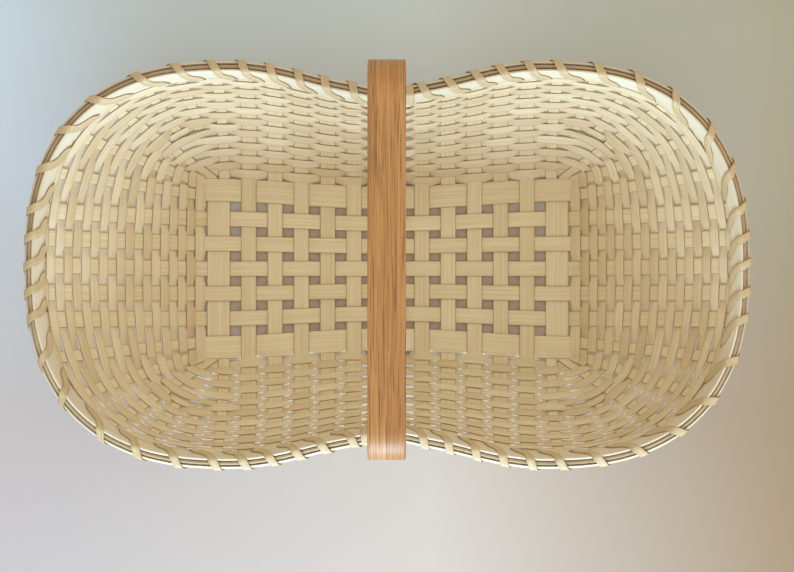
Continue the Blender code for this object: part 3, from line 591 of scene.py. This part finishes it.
def from_edges(grid, grids, tube):
    """Each point's share of the way in from the nearer long edge, which carries the painted edge shade; a
    seam of two ribbons is no edge.
    """
    rows, columns = grid.shape[:2]
    inside = np.full(columns, 0.5) if tube else 0.5 - abs(np.linspace(-0.5, 0.5, columns))
    inside = np.tile(inside, (rows, 1))
    for other in (one for one, _, _ in grids if one is not grid):
        for mine in (0, -1):
            for theirs in (0, -1):
                joined = np.linalg.norm(grid[:, mine] - other[:, theirs], axis=1) < SEAM
                inside[joined, mine] = 0.5
    return inside


def add_mesh(name, grids, ring=False, tube=False):
    """One object from several grids of points; tone and UV are its own."""
    chance = luck(name)
    corners, faces, uvs, tones, edges = [], [], [], [], []
    own_tone = chance.uniform(*TONE_RANGE)
    start = chance.uniform(0, UV_SPREAD, 2)
    for grid, along, across in grids:
        rows, columns = grid.shape[:2]
        first = len(corners)
        corners.extend(grid.reshape(-1, 3))
        tone = own_tone + TONE_DRIFT * slow_drift(chance, along[:rows], TONE_WAVE)
        tones.extend(np.repeat(tone, columns))
        edges.extend(from_edges(grid, grids, tube).reshape(-1))
        for row in range(rows if ring else rows - 1):
            for column in range(columns if tube else columns - 1):
                after, beyond = (row + 1) % rows, (column + 1) % columns
                faces.append([first + row * columns + column, first + after * columns + column,
                              first + after * columns + beyond, first + row * columns + beyond])
                left, right = start[1] + across[column], start[1] + across[column + 1]
                low, high = start[0] + along[row], start[0] + along[row + 1]
                uvs.extend((low, left, high, left, high, right, low, right))
        if tube and not ring:
            for row, turn in ((0, 1), (rows - 1, -1)):
                faces.append([first + row * columns + column for column in range(columns)][::turn])
                for column in range(columns):
                    uvs.extend((start[0], start[1] + across[column]))
    mesh = bpy.data.meshes.new(name)
    mesh.from_pydata([tuple(corner) for corner in corners], [], faces)
    mesh.uv_layers.new(name="reed").data.foreach_set("uv", np.array(uvs, dtype=np.float32))
    for label, values in (("tone", tones), ("edge", edges)):
        attribute = mesh.attributes.new(label, "FLOAT", "POINT")
        attribute.data.foreach_set("value", np.array(values, dtype=np.float32))
    piece = bpy.data.objects.new(name, mesh)
    bpy.context.collection.objects.link(piece)
    bpy.ops.object.select_all(action="DESELECT")
    piece.select_set(True)
    bpy.context.view_layer.objects.active = piece
    return piece


def weld():
    """Joins the active piece's doubled points, such as those along a split stake's middle."""
    bpy.ops.object.mode_set(mode="EDIT")
    bpy.ops.mesh.select_all(action="SELECT")
    bpy.ops.mesh.remove_doubles(threshold=MERGE)
    bpy.ops.object.mode_set(mode="OBJECT")


def turn_out():
    """Recalculates the active closed piece's normals."""
    bpy.ops.object.mode_set(mode="EDIT")
    bpy.ops.mesh.select_all(action="SELECT")
    bpy.ops.mesh.normals_make_consistent(inside=False)
    bpy.ops.object.mode_set(mode="OBJECT")


def thicken(piece, thick, bevel=EDGE_BEVEL, segments=2):
    """Gives a ribbon its thickness below its face, with eased edges."""
    solid = piece.modifiers.new("thickness", "SOLIDIFY")
    solid.thickness = thick
    solid.offset = -1
    bpy.ops.object.modifier_apply(modifier=solid.name)
    edge = piece.modifiers.new("eased edges", "BEVEL")
    edge.width = bevel
    edge.segments = segments
    edge.limit_method = "ANGLE"
    edge.angle_limit = BEVEL_ANGLE
    bpy.ops.object.modifier_apply(modifier=edge.name)


def hand_over(piece, node, finish):
    """Finish, shading and the frame's bookkeeping for one piece."""
    piece.data.materials.append(finish)
    bpy.ops.object.shade_smooth_by_angle(angle=SMOOTH_ANGLE)
    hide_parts(node)
    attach(piece, BODY)
    return piece


# %% [markdown]
# Stakes
#
# The stakes are the basket's skeleton: wide flat reeds that cross in the base and turn
# up into the walls. The end ones are wider still, and their ends are split lengthwise,
# so that each makes two uprights. The middle long stake is a little thicker than the
# rest and comes closer to the table than they do.

# %% Stakes
STAKE_THICK = 0.6 * MM
FOOT_THICK = 0.72 * MM
STAKE_CROWN = 0.12 * MM
STAKE_EASE = 4.5 * MM


def add_stake(node):
    """One stake, whole or split at its ends, or a short spoke."""
    rails = eased(strip_rails(node), STAKE_EASE)
    if rails.shape[1] == 2:
        grids = [ribbon(rails, STAKE_CROWN)]
    else:
        grids = [ribbon(rails[:, :2], STAKE_CROWN, crown_at=1.0),
                 ribbon(rails[:, 2:], STAKE_CROWN, crown_at=0.0)]
    piece = add_mesh(node + "_reed", grids)
    weld()
    thicken(piece, FOOT_THICK if node == "long_stake_middle" else STAKE_THICK)
    return hand_over(piece, node, STAKE_REED)


STAKES = [node for node in sorted(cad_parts) if "stake" in node or "spoke" in node]
for node in STAKES:
    add_stake(node)
print(len(STAKES), "stakes and spokes")

# %% [markdown]
# Woven rows
#
# Each row is a narrower reed that goes over one upright and under the next, and the rows
# are pushed down on each other. No two lie quite alike, so each wanders a little from its
# place and is a shade of its own. In the front wall the rows are narrower where they
# change sides, so light shows in small slits there. In the corners two rows are drawn
# down over the gap that the added spokes leave. Outside the handle's legs, which are
# thicker than a stake, the rows stand a little further out.

# %% Woven rows
ROW_THICK = 0.6 * MM
ROW_CROWN = 0.15 * MM
ROW_WANDER = 0.15 * MM
ROW_SNUG = 1.0 * MM
ROW_FOOT = 2.4 * MM
ROW_TABLE_CLEAR = 0.5 * MM
RIM_ROW_FOOT = 3.2 * MM
ROW_FLOAT = 9.2 * MM
ROW_CROSSING = 7.8 * MM
FRONT_CROSSING = 5.0 * MM
FRONT_GAIN = 3
FRONT_DROP = 0.6
ROW_FLAT_SHARE = 0.23
ROW_STEPS = 10
NEAR_UPRIGHT = 6 * MM
UPRIGHT_DEPTH = 0.9 * MM
LEG_REACH = 14 * MM
LEG_CLEAR = 1.05 * MM
SPREAD_ROWS = {"weaver_row_08": "weaver_row_07", "weaver_row_09": "weaver_row_08"}
CORNER_FROM = (0.115, 0.075)
CORNER_SOFT = 0.02
ROW_LAP = 2.8 * MM
ROW_DRAWN = 4.5 * MM


def wandering(rails, name, amount):
    """Each station moved a little across the reed."""
    across = unit(rails[:, 1] - rails[:, 0])
    return rails + (across * luck(name).normal(0, amount, len(rails))[:, None])[:, None]


def upright_tree():
    """All stakes, spokes and the hoop in one tree that is asked for its nearest point."""
    corners, faces = [], []
    for node in STAKES + ["handle_hoop"]:
        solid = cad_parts[node].data
        first = len(corners)
        corners.extend(vert.co.copy() for vert in solid.vertices)
        faces.extend([first + corner for corner in face.vertices] for face in solid.polygons)
    return BVHTree.FromPolygons(corners, faces)


UPRIGHTS = upright_tree()


def inward_ways(rails):
    """At each station the way into the basket, square to the reed's face."""
    middle = rails.mean(axis=1)
    along = np.roll(middle, -1, axis=0) - np.roll(middle, 1, axis=0)
    ways = unit(np.cross(along, rails[:, 1] - rails[:, 0]))
    return ways * np.sign(ways[:, 2].sum())


def row_sides(rails, ways):
    """1 where the row passes inside an upright, -1 outside, and how far it lies off its face."""
    sides, lifts = np.zeros((2, len(rails)))
    for place, (spot, way) in enumerate(zip(rails.mean(axis=1), ways)):
        touch = UPRIGHTS.find_nearest(Vector(spot), NEAR_UPRIGHT)[0]
        if touch:
            apart = (spot - np.array(touch)) @ way
            sides[place] = np.sign(apart)
            lifts[place] = apart if apart > 0 else apart - UPRIGHT_DEPTH
    for place in np.flatnonzero(sides == 0):
        sides[place], lifts[place] = sides[place - 1], lifts[place - 1]
    outside_leg = (abs(rails[:, :, 0].mean(axis=1)) < LEG_REACH) & (sides < 0)
    lifts[outside_leg] += LEG_CLEAR
    return sides, lifts


def packed(rails, steps=ROW_STEPS):
    """A row that lies flat on each upright and changes sides in the gap to the next."""
    ways = inward_ways(rails)
    sides, lifts = row_sides(rails, ways)
    offset = (ways * sides[:, None])[:, None]
    shares = np.linspace(0, 1, steps, endpoint=False)
    cross = np.clip((shares - ROW_FLAT_SHARE) / (1 - 2 * ROW_FLAT_SHARE), 0, 1)
    cross = cross * cross * (3 - 2 * cross)
    part = cross[None, :, None, None]
    change = offset[:, None] * (1 - part) + np.roll(offset, -1, axis=0)[:, None] * part
    level = rails - (ways * lifts[:, None])[:, None]
    curve = through(level, steps) + change.reshape(-1, 1, 3) * ROW_SNUG
    changes = (sides != np.roll(sides, -1))[:, None]
    calm = np.where(changes, abs(1 - 2 * cross)[None], 1).reshape(-1, 1)
    front = np.clip(np.repeat(ways[:, 1:2], steps, axis=0) * FRONT_GAIN - FRONT_DROP, 0, 1)
    crossing = ROW_CROSSING + (FRONT_CROSSING - ROW_CROSSING) * front
    width = crossing + (ROW_FLOAT - crossing) * calm
    across = unit(curve[:, 1] - curve[:, 0]) * width / 2
    middle = curve.mean(axis=1)
    return np.stack((middle - across, middle + across), axis=1)


def footed(curve, amount):
    """The row with its lower edge drawn down."""
    low = int(curve[:, 1, 2].mean() < curve[:, 0, 2].mean())
    curve[:, low] += unit(curve[:, low] - curve[:, 1 - low]) * amount
    return curve


def drawn_to(curve, below):
    """The row with its lower edge drawn over the row below, in the corners only."""
    low = int(curve[:, 1, 2].mean() < curve[:, 0, 2].mean())
    top = below[:, int(below[:, 1, 2].mean() > below[:, 0, 2].mean())]
    down = unit(curve[:, low] - curve[:, 1 - low])
    share = np.clip((abs(curve[:, low, :2]) - CORNER_FROM) / CORNER_SOFT, 0, 1).prod(axis=1)
    for place, spot in enumerate(curve[:, low].copy()):
        reach = (top[np.linalg.norm(top - spot, axis=1).argmin()] - spot) @ down[place]
        if reach > -ROW_LAP:
            curve[place, low] += down[place] * min(reach + ROW_LAP, ROW_DRAWN) * share[place]
    return curve


def add_row(node):
    """One ring of weaver."""
    rails = wandering(strip_rails(node, ring=True), node, ROW_WANDER)
    if node == "rim_row":
        curve = footed(through(rails), RIM_ROW_FOOT)
    elif node == "weaver_row_01":
        curve = footed(packed(rails), ROW_FOOT)
        curve[:, :, 2] = np.maximum(curve[:, :, 2], ROW_TABLE_CLEAR)
    else:
        curve = packed(rails)
    CURVES[node] = curve
    if node in SPREAD_ROWS:
        curve = drawn_to(curve, CURVES[SPREAD_ROWS[node]])
    piece = add_mesh(node + "_reed", [ribbon(curve, ROW_CROWN, ring=True)], ring=True)
    thicken(piece, ROW_THICK)
    return hand_over(piece, node, WEAVER_REED)


CURVES = {}
ROWS = [node for node in sorted(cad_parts) if "row" in node]
for node in ROWS:
    add_row(node)
print(len(ROWS), "woven rows, the last between the rims")

# %% [markdown]
# Rims
#
# Two hoops clamp the top of the wall: a flat band inside and a half-round strip outside.
# They run side by side, so the two rails of each are read together and give, at every
# place round the edge, a small frame: how far out from the band's inner face, and how
# far up from its top. All that belongs to the rim is placed in that frame.

# %% The frame round the edge
BAND_FOLD = math.radians(30)
HOOP_FOLD = math.radians(50)
RIM_STEPS = 6
BAND_THICK = 2.0 * MM
BAND_LIP = 0.8 * MM
BAND_FOOT = -11.2 * MM
BAND_ROUND = 0.7 * MM
BAND_ROUND_STEPS = 3
BAND_CROWN = 0.1 * MM


def tops_first(rails):
    """The higher of two rails comes first."""
    return rails if rails[:, 0, 2].mean() > rails[:, 1, 2].mean() else rails[:, ::-1]


def edge_rails():
    """Band top, band foot, hoop top and hoop foot, clockwise from the right of the far handle leg."""
    band = tops_first(strip_rails("inner_rim", True, lambda edge: edge.calc_face_angle(math.pi) < BAND_FOLD))
    hoop = tops_first(strip_rails("outer_rim", True, lambda edge: edge.calc_face_angle(math.pi) < HOOP_FOLD))
    x, y = band[:, 0, 0], band[:, 0, 1]
    if (x * np.roll(y, -1) - y * np.roll(x, -1)).sum() > 0:
        band = band[::-1]
    far_right = [place for place, (right, far, _) in enumerate(band[:, 0]) if right > 0 and far > 0]
    band = np.roll(band, -min(far_right, key=lambda place: band[place, 0, 0]), axis=0)
    hoop_top, hoop_foot = (pair_rings(band[:, side], hoop[:, side])[1] for side in (0, 1))
    return np.stack((band[:, 0], band[:, 1], hoop_top, hoop_foot), axis=1)


EDGE = edge_rails()
STATIONS = len(EDGE)
ROUND = through(EDGE, RIM_STEPS)
EDGE_ORIGIN = ROUND[:, 0]
EDGE_UP = unit(ROUND[:, 0] - ROUND[:, 1])
EDGE_OUT = ROUND[:, 2] - ROUND[:, 0]
EDGE_OUT = unit(EDGE_OUT - (EDGE_OUT * EDGE_UP).sum(axis=1, keepdims=True) * EDGE_UP)


def at_station(field, station):
    """A field of the frame at a station number, whole or not."""
    place = station % STATIONS * RIM_STEPS
    low = int(place)
    share = place - low
    return field[low % len(field)] * (1 - share) + field[(low + 1) % len(field)] * share


def by_rim(station, out, up):
    """A point from its place round the edge, how far out and how far up."""
    outward = at_station(EDGE_OUT, station) * out
    return at_station(EDGE_ORIGIN, station) + outward + at_station(EDGE_UP, station) * up


print(STATIONS, "stations round the edge")

# %% Inner band and outer hoop
HOOP_IN = 6.9 * MM
HOOP_OUT = 3.4 * MM
HOOP_TOP = 0.8 * MM
HOOP_FOOT = -12.2 * MM
HOOP_SIDES = 9
HOOP_FULLNESS = 0.75


def add_band():
    """The flat inner rim, its top edges well rounded."""
    rails = np.stack((EDGE_ORIGIN + EDGE_UP * BAND_LIP, EDGE_ORIGIN + EDGE_UP * BAND_FOOT), axis=1)
    piece = add_mesh("inner_rim_band", [ribbon(rails, BAND_CROWN, ring=True)], ring=True)
    thicken(piece, BAND_THICK, BAND_ROUND, BAND_ROUND_STEPS)
    return hand_over(piece, "inner_rim", RIM_REED)


def add_hoop():
    """The half-round outer rim, flat side to the wall."""
    middle, half = (HOOP_TOP + HOOP_FOOT) / 2, (HOOP_TOP - HOOP_FOOT) / 2
    grid = []
    for place in range(len(ROUND)):
        station = place / RIM_STEPS
        section = []
        for turn in np.linspace(-math.pi / 2, math.pi / 2, HOOP_SIDES):
            out = HOOP_IN + HOOP_OUT * math.cos(turn) ** HOOP_FULLNESS
            section.append(by_rim(station, out, middle + half * math.sin(turn)))
        grid.append(section)
    grid = np.array(grid)
    along = np.concatenate(([0], np.cumsum(middle_gaps(grid, ring=True))))
    across = np.linspace(0, 2 * half, HOOP_SIDES + 1)
    piece = add_mesh("outer_rim_hoop", [(grid, along, across)], ring=True, tube=True)
    turn_out()
    return hand_over(piece, "outer_rim", RIM_REED)


add_band()
add_hoop()
print("band and hoop")

# %% [markdown]
# Filler and lashing
#
# A brown strand lies in the groove between the rims and hides the cut tops of the
# uprights. One long narrow reed then binds it all: out at one gap, up the outside, over
# the top on a slant, down the band and out again at the next gap, fifty-six times. Its
# corners are listed as a share of the way, millimetres out and millimetres up.

# %% Filler
FILLER_OUT = 4.5 * MM
FILLER_UP = -0.7 * MM
FILLER_RADIUS = 1.5 * MM
FILLER_SIDES = 12
FILLER_LAY = 16 * MM
FILLER_STEPS = 8
PLY_DEPTH_SHARE = 0.16
PLY_SHARPNESS = 4
STRAND = reed_finish("filler_strand_brown", pale=(0.68, 0.53, 0.33), deep=(0.40, 0.27, 0.15),
                     streak=(0.5, 0.4, 0.3), roughness=0.7)


def add_filler(node, first, last):
    """A two-ply twisted strand from one handle leg to the other."""
    stations = np.linspace(first, last, (last - first) * FILLER_STEPS + 1)
    centre = np.array([by_rim(station, FILLER_OUT, FILLER_UP) for station in stations])
    along = np.concatenate(([0], np.cumsum(np.linalg.norm(np.diff(centre, axis=0), axis=1))))
    grid = []
    for place, station in enumerate(stations):
        section = []
        for turn in np.linspace(0, math.tau, FILLER_SIDES, endpoint=False):
            ply = abs(math.sin(turn - along[place] / FILLER_LAY * math.tau))
            bulge = 1 - PLY_DEPTH_SHARE * ply ** PLY_SHARPNESS
            section.append(by_rim(station, FILLER_OUT + FILLER_RADIUS * bulge * math.cos(turn),
                                  FILLER_UP + FILLER_RADIUS * bulge * math.sin(turn)))
        grid.append(section)
    across = np.linspace(0, math.tau * FILLER_RADIUS, FILLER_SIDES + 1)
    piece = add_mesh(node + "_strand", [(np.array(grid), along, across)], tube=True)
    turn_out()
    return hand_over(piece, node, STRAND)


add_filler("rim_filler_right", 0, STATIONS // 2 - 1)
add_filler("rim_filler_left", STATIONS // 2, STATIONS - 1)
print("filler in two lengths")

# %% Lashing
LASH_WIDTH = 6.2 * MM
LASH_THICK = 0.7 * MM
LASH_CROWN = 0.1 * MM
LASH_EASE = 2.2 * MM
LEG_GAP_SHARE = 0.28
LEG_SPAN = 1.5
GAP_SHIFT = 0.12
TOP_BACK = 0.08
TOP_RUN = 0.16
LASH_LUCK = 0.04
LASH_OUTSIDE = ((0, 4.6, -16.6), (0, 9.4, -14.6), (0.3, 11.6, -9.5), (0.75, 11.6, -2.5), (1, 9.2, 1.7))
LASH_TOP = ((0.4, 4.6, 1.95), (1, 0.6, 1.75))
LASH_INSIDE = ((0.06, -0.95, -0.6), (0.18, -0.95, -4), (0.34, -0.95, -6.6), (0.58, -0.95, -8.3),
               (0.84, -0.95, -9.4), (1, -0.95, -11.8), (1.02, 0.6, -13.8))


def gap_stations():
    """Places of the gaps that the lashing goes through, all but those behind the handle's legs."""
    half = STATIONS // 2
    found = []
    for first in (0, half):
        for place in range(half - 1):
            share = 0.5 + GAP_SHIFT
            if place == 0:
                share = LEG_GAP_SHARE
            elif place == half - 2:
                share = 1 - LEG_GAP_SHARE
            found.append(first + place + share)
    return found


def wrap_corners(gap, following, chance):
    """One turn of the lashing, as places round the edge with distances out and up."""
    if following - gap > LEG_SPAN:
        outer_top = inner_top = following
    else:
        outer_top = math.ceil(gap) - TOP_BACK + chance.normal(0, LASH_LUCK)
        inner_top = outer_top + TOP_RUN
    corners = [(gap + (outer_top - gap) * share, out, up) for share, out, up in LASH_OUTSIDE]
    corners += [(outer_top + (inner_top - outer_top) * share, out, up) for share, out, up in LASH_TOP]
    corners += [(inner_top + (following - inner_top) * share, out, up) for share, out, up in LASH_INSIDE]
    return corners


def add_lashing():
    """The one reed that is wound round the rims."""
    chance = luck("lashing")
    gaps = gap_stations()
    corners = []
    for gap, following in zip(gaps, gaps[1:] + [gaps[0] + STATIONS]):
        corners += wrap_corners(gap, following, chance)
    corners.append((gaps[0] + STATIONS, *corners[0][1:]))
    path = np.array([by_rim(station, out * MM, up * MM) for station, out, up in corners])
    ahead = unit(np.gradient(path, axis=0))
    section = unit(np.gradient(np.array(corners)[:, 1:], axis=0))
    out_ways = np.array([at_station(EDGE_OUT, station) for station, out, up in corners])
    up_ways = np.array([at_station(EDGE_UP, station) for station, out, up in corners])
    faces = out_ways * section[:, 1:] - up_ways * section[:, :1]
    across = unit(np.cross(faces, ahead)) * LASH_WIDTH / 2
    rails = eased(np.stack((path - across, path + across), axis=1), LASH_EASE)
    piece = add_mesh("rim_lashing_reed", [ribbon(rails, LASH_CROWN, face_up=False)])
    thicken(piece, LASH_THICK)
    return hand_over(piece, "rim_lashing", LASHING_REED)


lashing = add_lashing()
print(len(gap_stations()), "wraps,", len(lashing.data.polygons), "faces")

# %% [markdown]
# Handle
#
# The hoop is one strip of oak, steamed and bent: a flat foot woven through the base, two
# thin legs that are woven in as uprights, and a thicker grip with square shoulders. Its
# side faces are flat as far as its rounded edges, so they give its path and thickness.
# The bar is lofted along that path, with its edges rounded by a third of the thickness
# at most, and the grain runs along it.

# %% Oak
OAK_PALE = (0.59, 0.305, 0.10)
OAK_DEEP = (0.46, 0.215, 0.062)
OAK_LINE = (0.23, 0.095, 0.03)
OAK_PORE = (0.45, 0.33, 0.25)
FIGURE_SCALE, FIGURE_DETAIL, FIGURE_BEND = (3.5, 170, 1), 3, 0.5
LINE_SCALE, LINE_DETAIL, LINE_BEND = (14, 800, 1), 4, 1.6
PORE_SCALE, PORE_DETAIL = (90, 3200, 1), 2
FIGURE_STOPS = ((0.32, BLACK), (0.68, WHITE))
LINE_STOPS = ((0.48, BLACK), (0.64, WHITE))
PORE_STOPS = ((0.62, WHITE), (0.7, OAK_PORE))
PORE_SHARE = 0.5
OAK_ROUGHNESS = 0.45
OAK_BUMP = 0.3


def oak_finish():
    """Oiled oak: long slow figure, dark open pores in dashes along the grain."""
    finish, tree, shader = new_material("handle_oak_oiled")
    figure = stretched_noise(tree, FIGURE_SCALE, FIGURE_DETAIL, FIGURE_BEND)
    lines = stretched_noise(tree, LINE_SCALE, LINE_DETAIL, LINE_BEND)
    pores = stretched_noise(tree, PORE_SCALE, PORE_DETAIL)
    body = mix(tree, OAK_PALE, OAK_DEEP, ramp(tree, figure, FIGURE_STOPS))
    body = mix(tree, body, OAK_LINE, ramp(tree, lines, LINE_STOPS))
    colour = mix(tree, body, ramp(tree, pores, PORE_STOPS), PORE_SHARE, "MULTIPLY")
    tree.links.new(colour, shader.inputs["Base Color"])
    shader.inputs["Roughness"].default_value = OAK_ROUGHNESS
    bump = add_node(tree, "Bump", Strength=OAK_BUMP, Distance=BUMP_DEPTH)
    tree.links.new(pores, bump.inputs["Height"])
    bump.invert = True
    tree.links.new(bump.outputs["Normal"], shader.inputs["Normal"])
    return finish


OAK = oak_finish()
print("finish", OAK.name)

# %% Handle
FLAT_FOLD = math.radians(20)
GRIP_EDGE = 1.3 * MM
HANDLE_EASE = 5 * MM
CORNER_STEPS = 4


def sideways(patch):
    """How much of a patch looks to the right."""
    return sum(face.calc_area() * face.normal.x for face in patch)


def handle_path():
    """Stations of the hoop: points of its two faces at its right side, and how thick it is there."""
    rails = strip_rails("handle_hoop", True, lambda edge: edge.calc_face_angle(math.pi) < FLAT_FOLD, sideways)
    lowest = rails[:, :, 2].mean(axis=1).argsort()[:2]
    if abs(lowest[0] - lowest[1]) == 1:
        rails = np.roll(rails, -max(lowest), axis=0)
    foot = (rails[:1] + rails[-1:]) / 2
    return eased(np.concatenate((foot, rails, foot)), HANDLE_EASE)[:-1]


def add_handle():
    """The oak bar, lofted along its path."""
    rails = handle_path()
    middle = rails.mean(axis=1)
    apart = np.linalg.norm(rails[:, 1] - rails[:, 0], axis=1)
    thick = np.minimum(3 * apart, apart + 2 * GRIP_EDGE)
    through_way = unit(rails[:, 1] - rails[:, 0])
    half = middle[:, 0].mean()
    corner = np.linspace(0, math.pi / 2, CORNER_STEPS)
    grid = []
    for place, depth, way in zip(middle, thick, through_way):
        edge = min(GRIP_EDGE, depth / 3)
        section = []
        for quarter in range(4):
            side_x, side_t = ((1, 1), (-1, 1), (-1, -1), (1, -1))[quarter]
            for turn in corner + quarter * math.pi / 2:
                x = side_x * (half - edge) + edge * math.cos(turn)
                t = side_t * (depth / 2 - edge) + edge * math.sin(turn)
                section.append(np.array((x, place[1], place[2])) + way * t)
        grid.append(section)
    grid = np.array(grid)
    steps = np.linalg.norm(np.roll(grid[0], -1, axis=0) - grid[0], axis=1)
    across = np.concatenate(([0], np.cumsum(steps)))
    along = np.concatenate(([0], np.cumsum(middle_gaps(rails, ring=True))))
    piece = add_mesh("handle_hoop_oak", [(grid, along, across)], ring=True, tube=True)
    turn_out()
    return hand_over(piece, "handle_hoop", OAK)


handle = add_handle()
print("handle reaches", round(max(vertex.co.z for vertex in handle.data.vertices), 4))
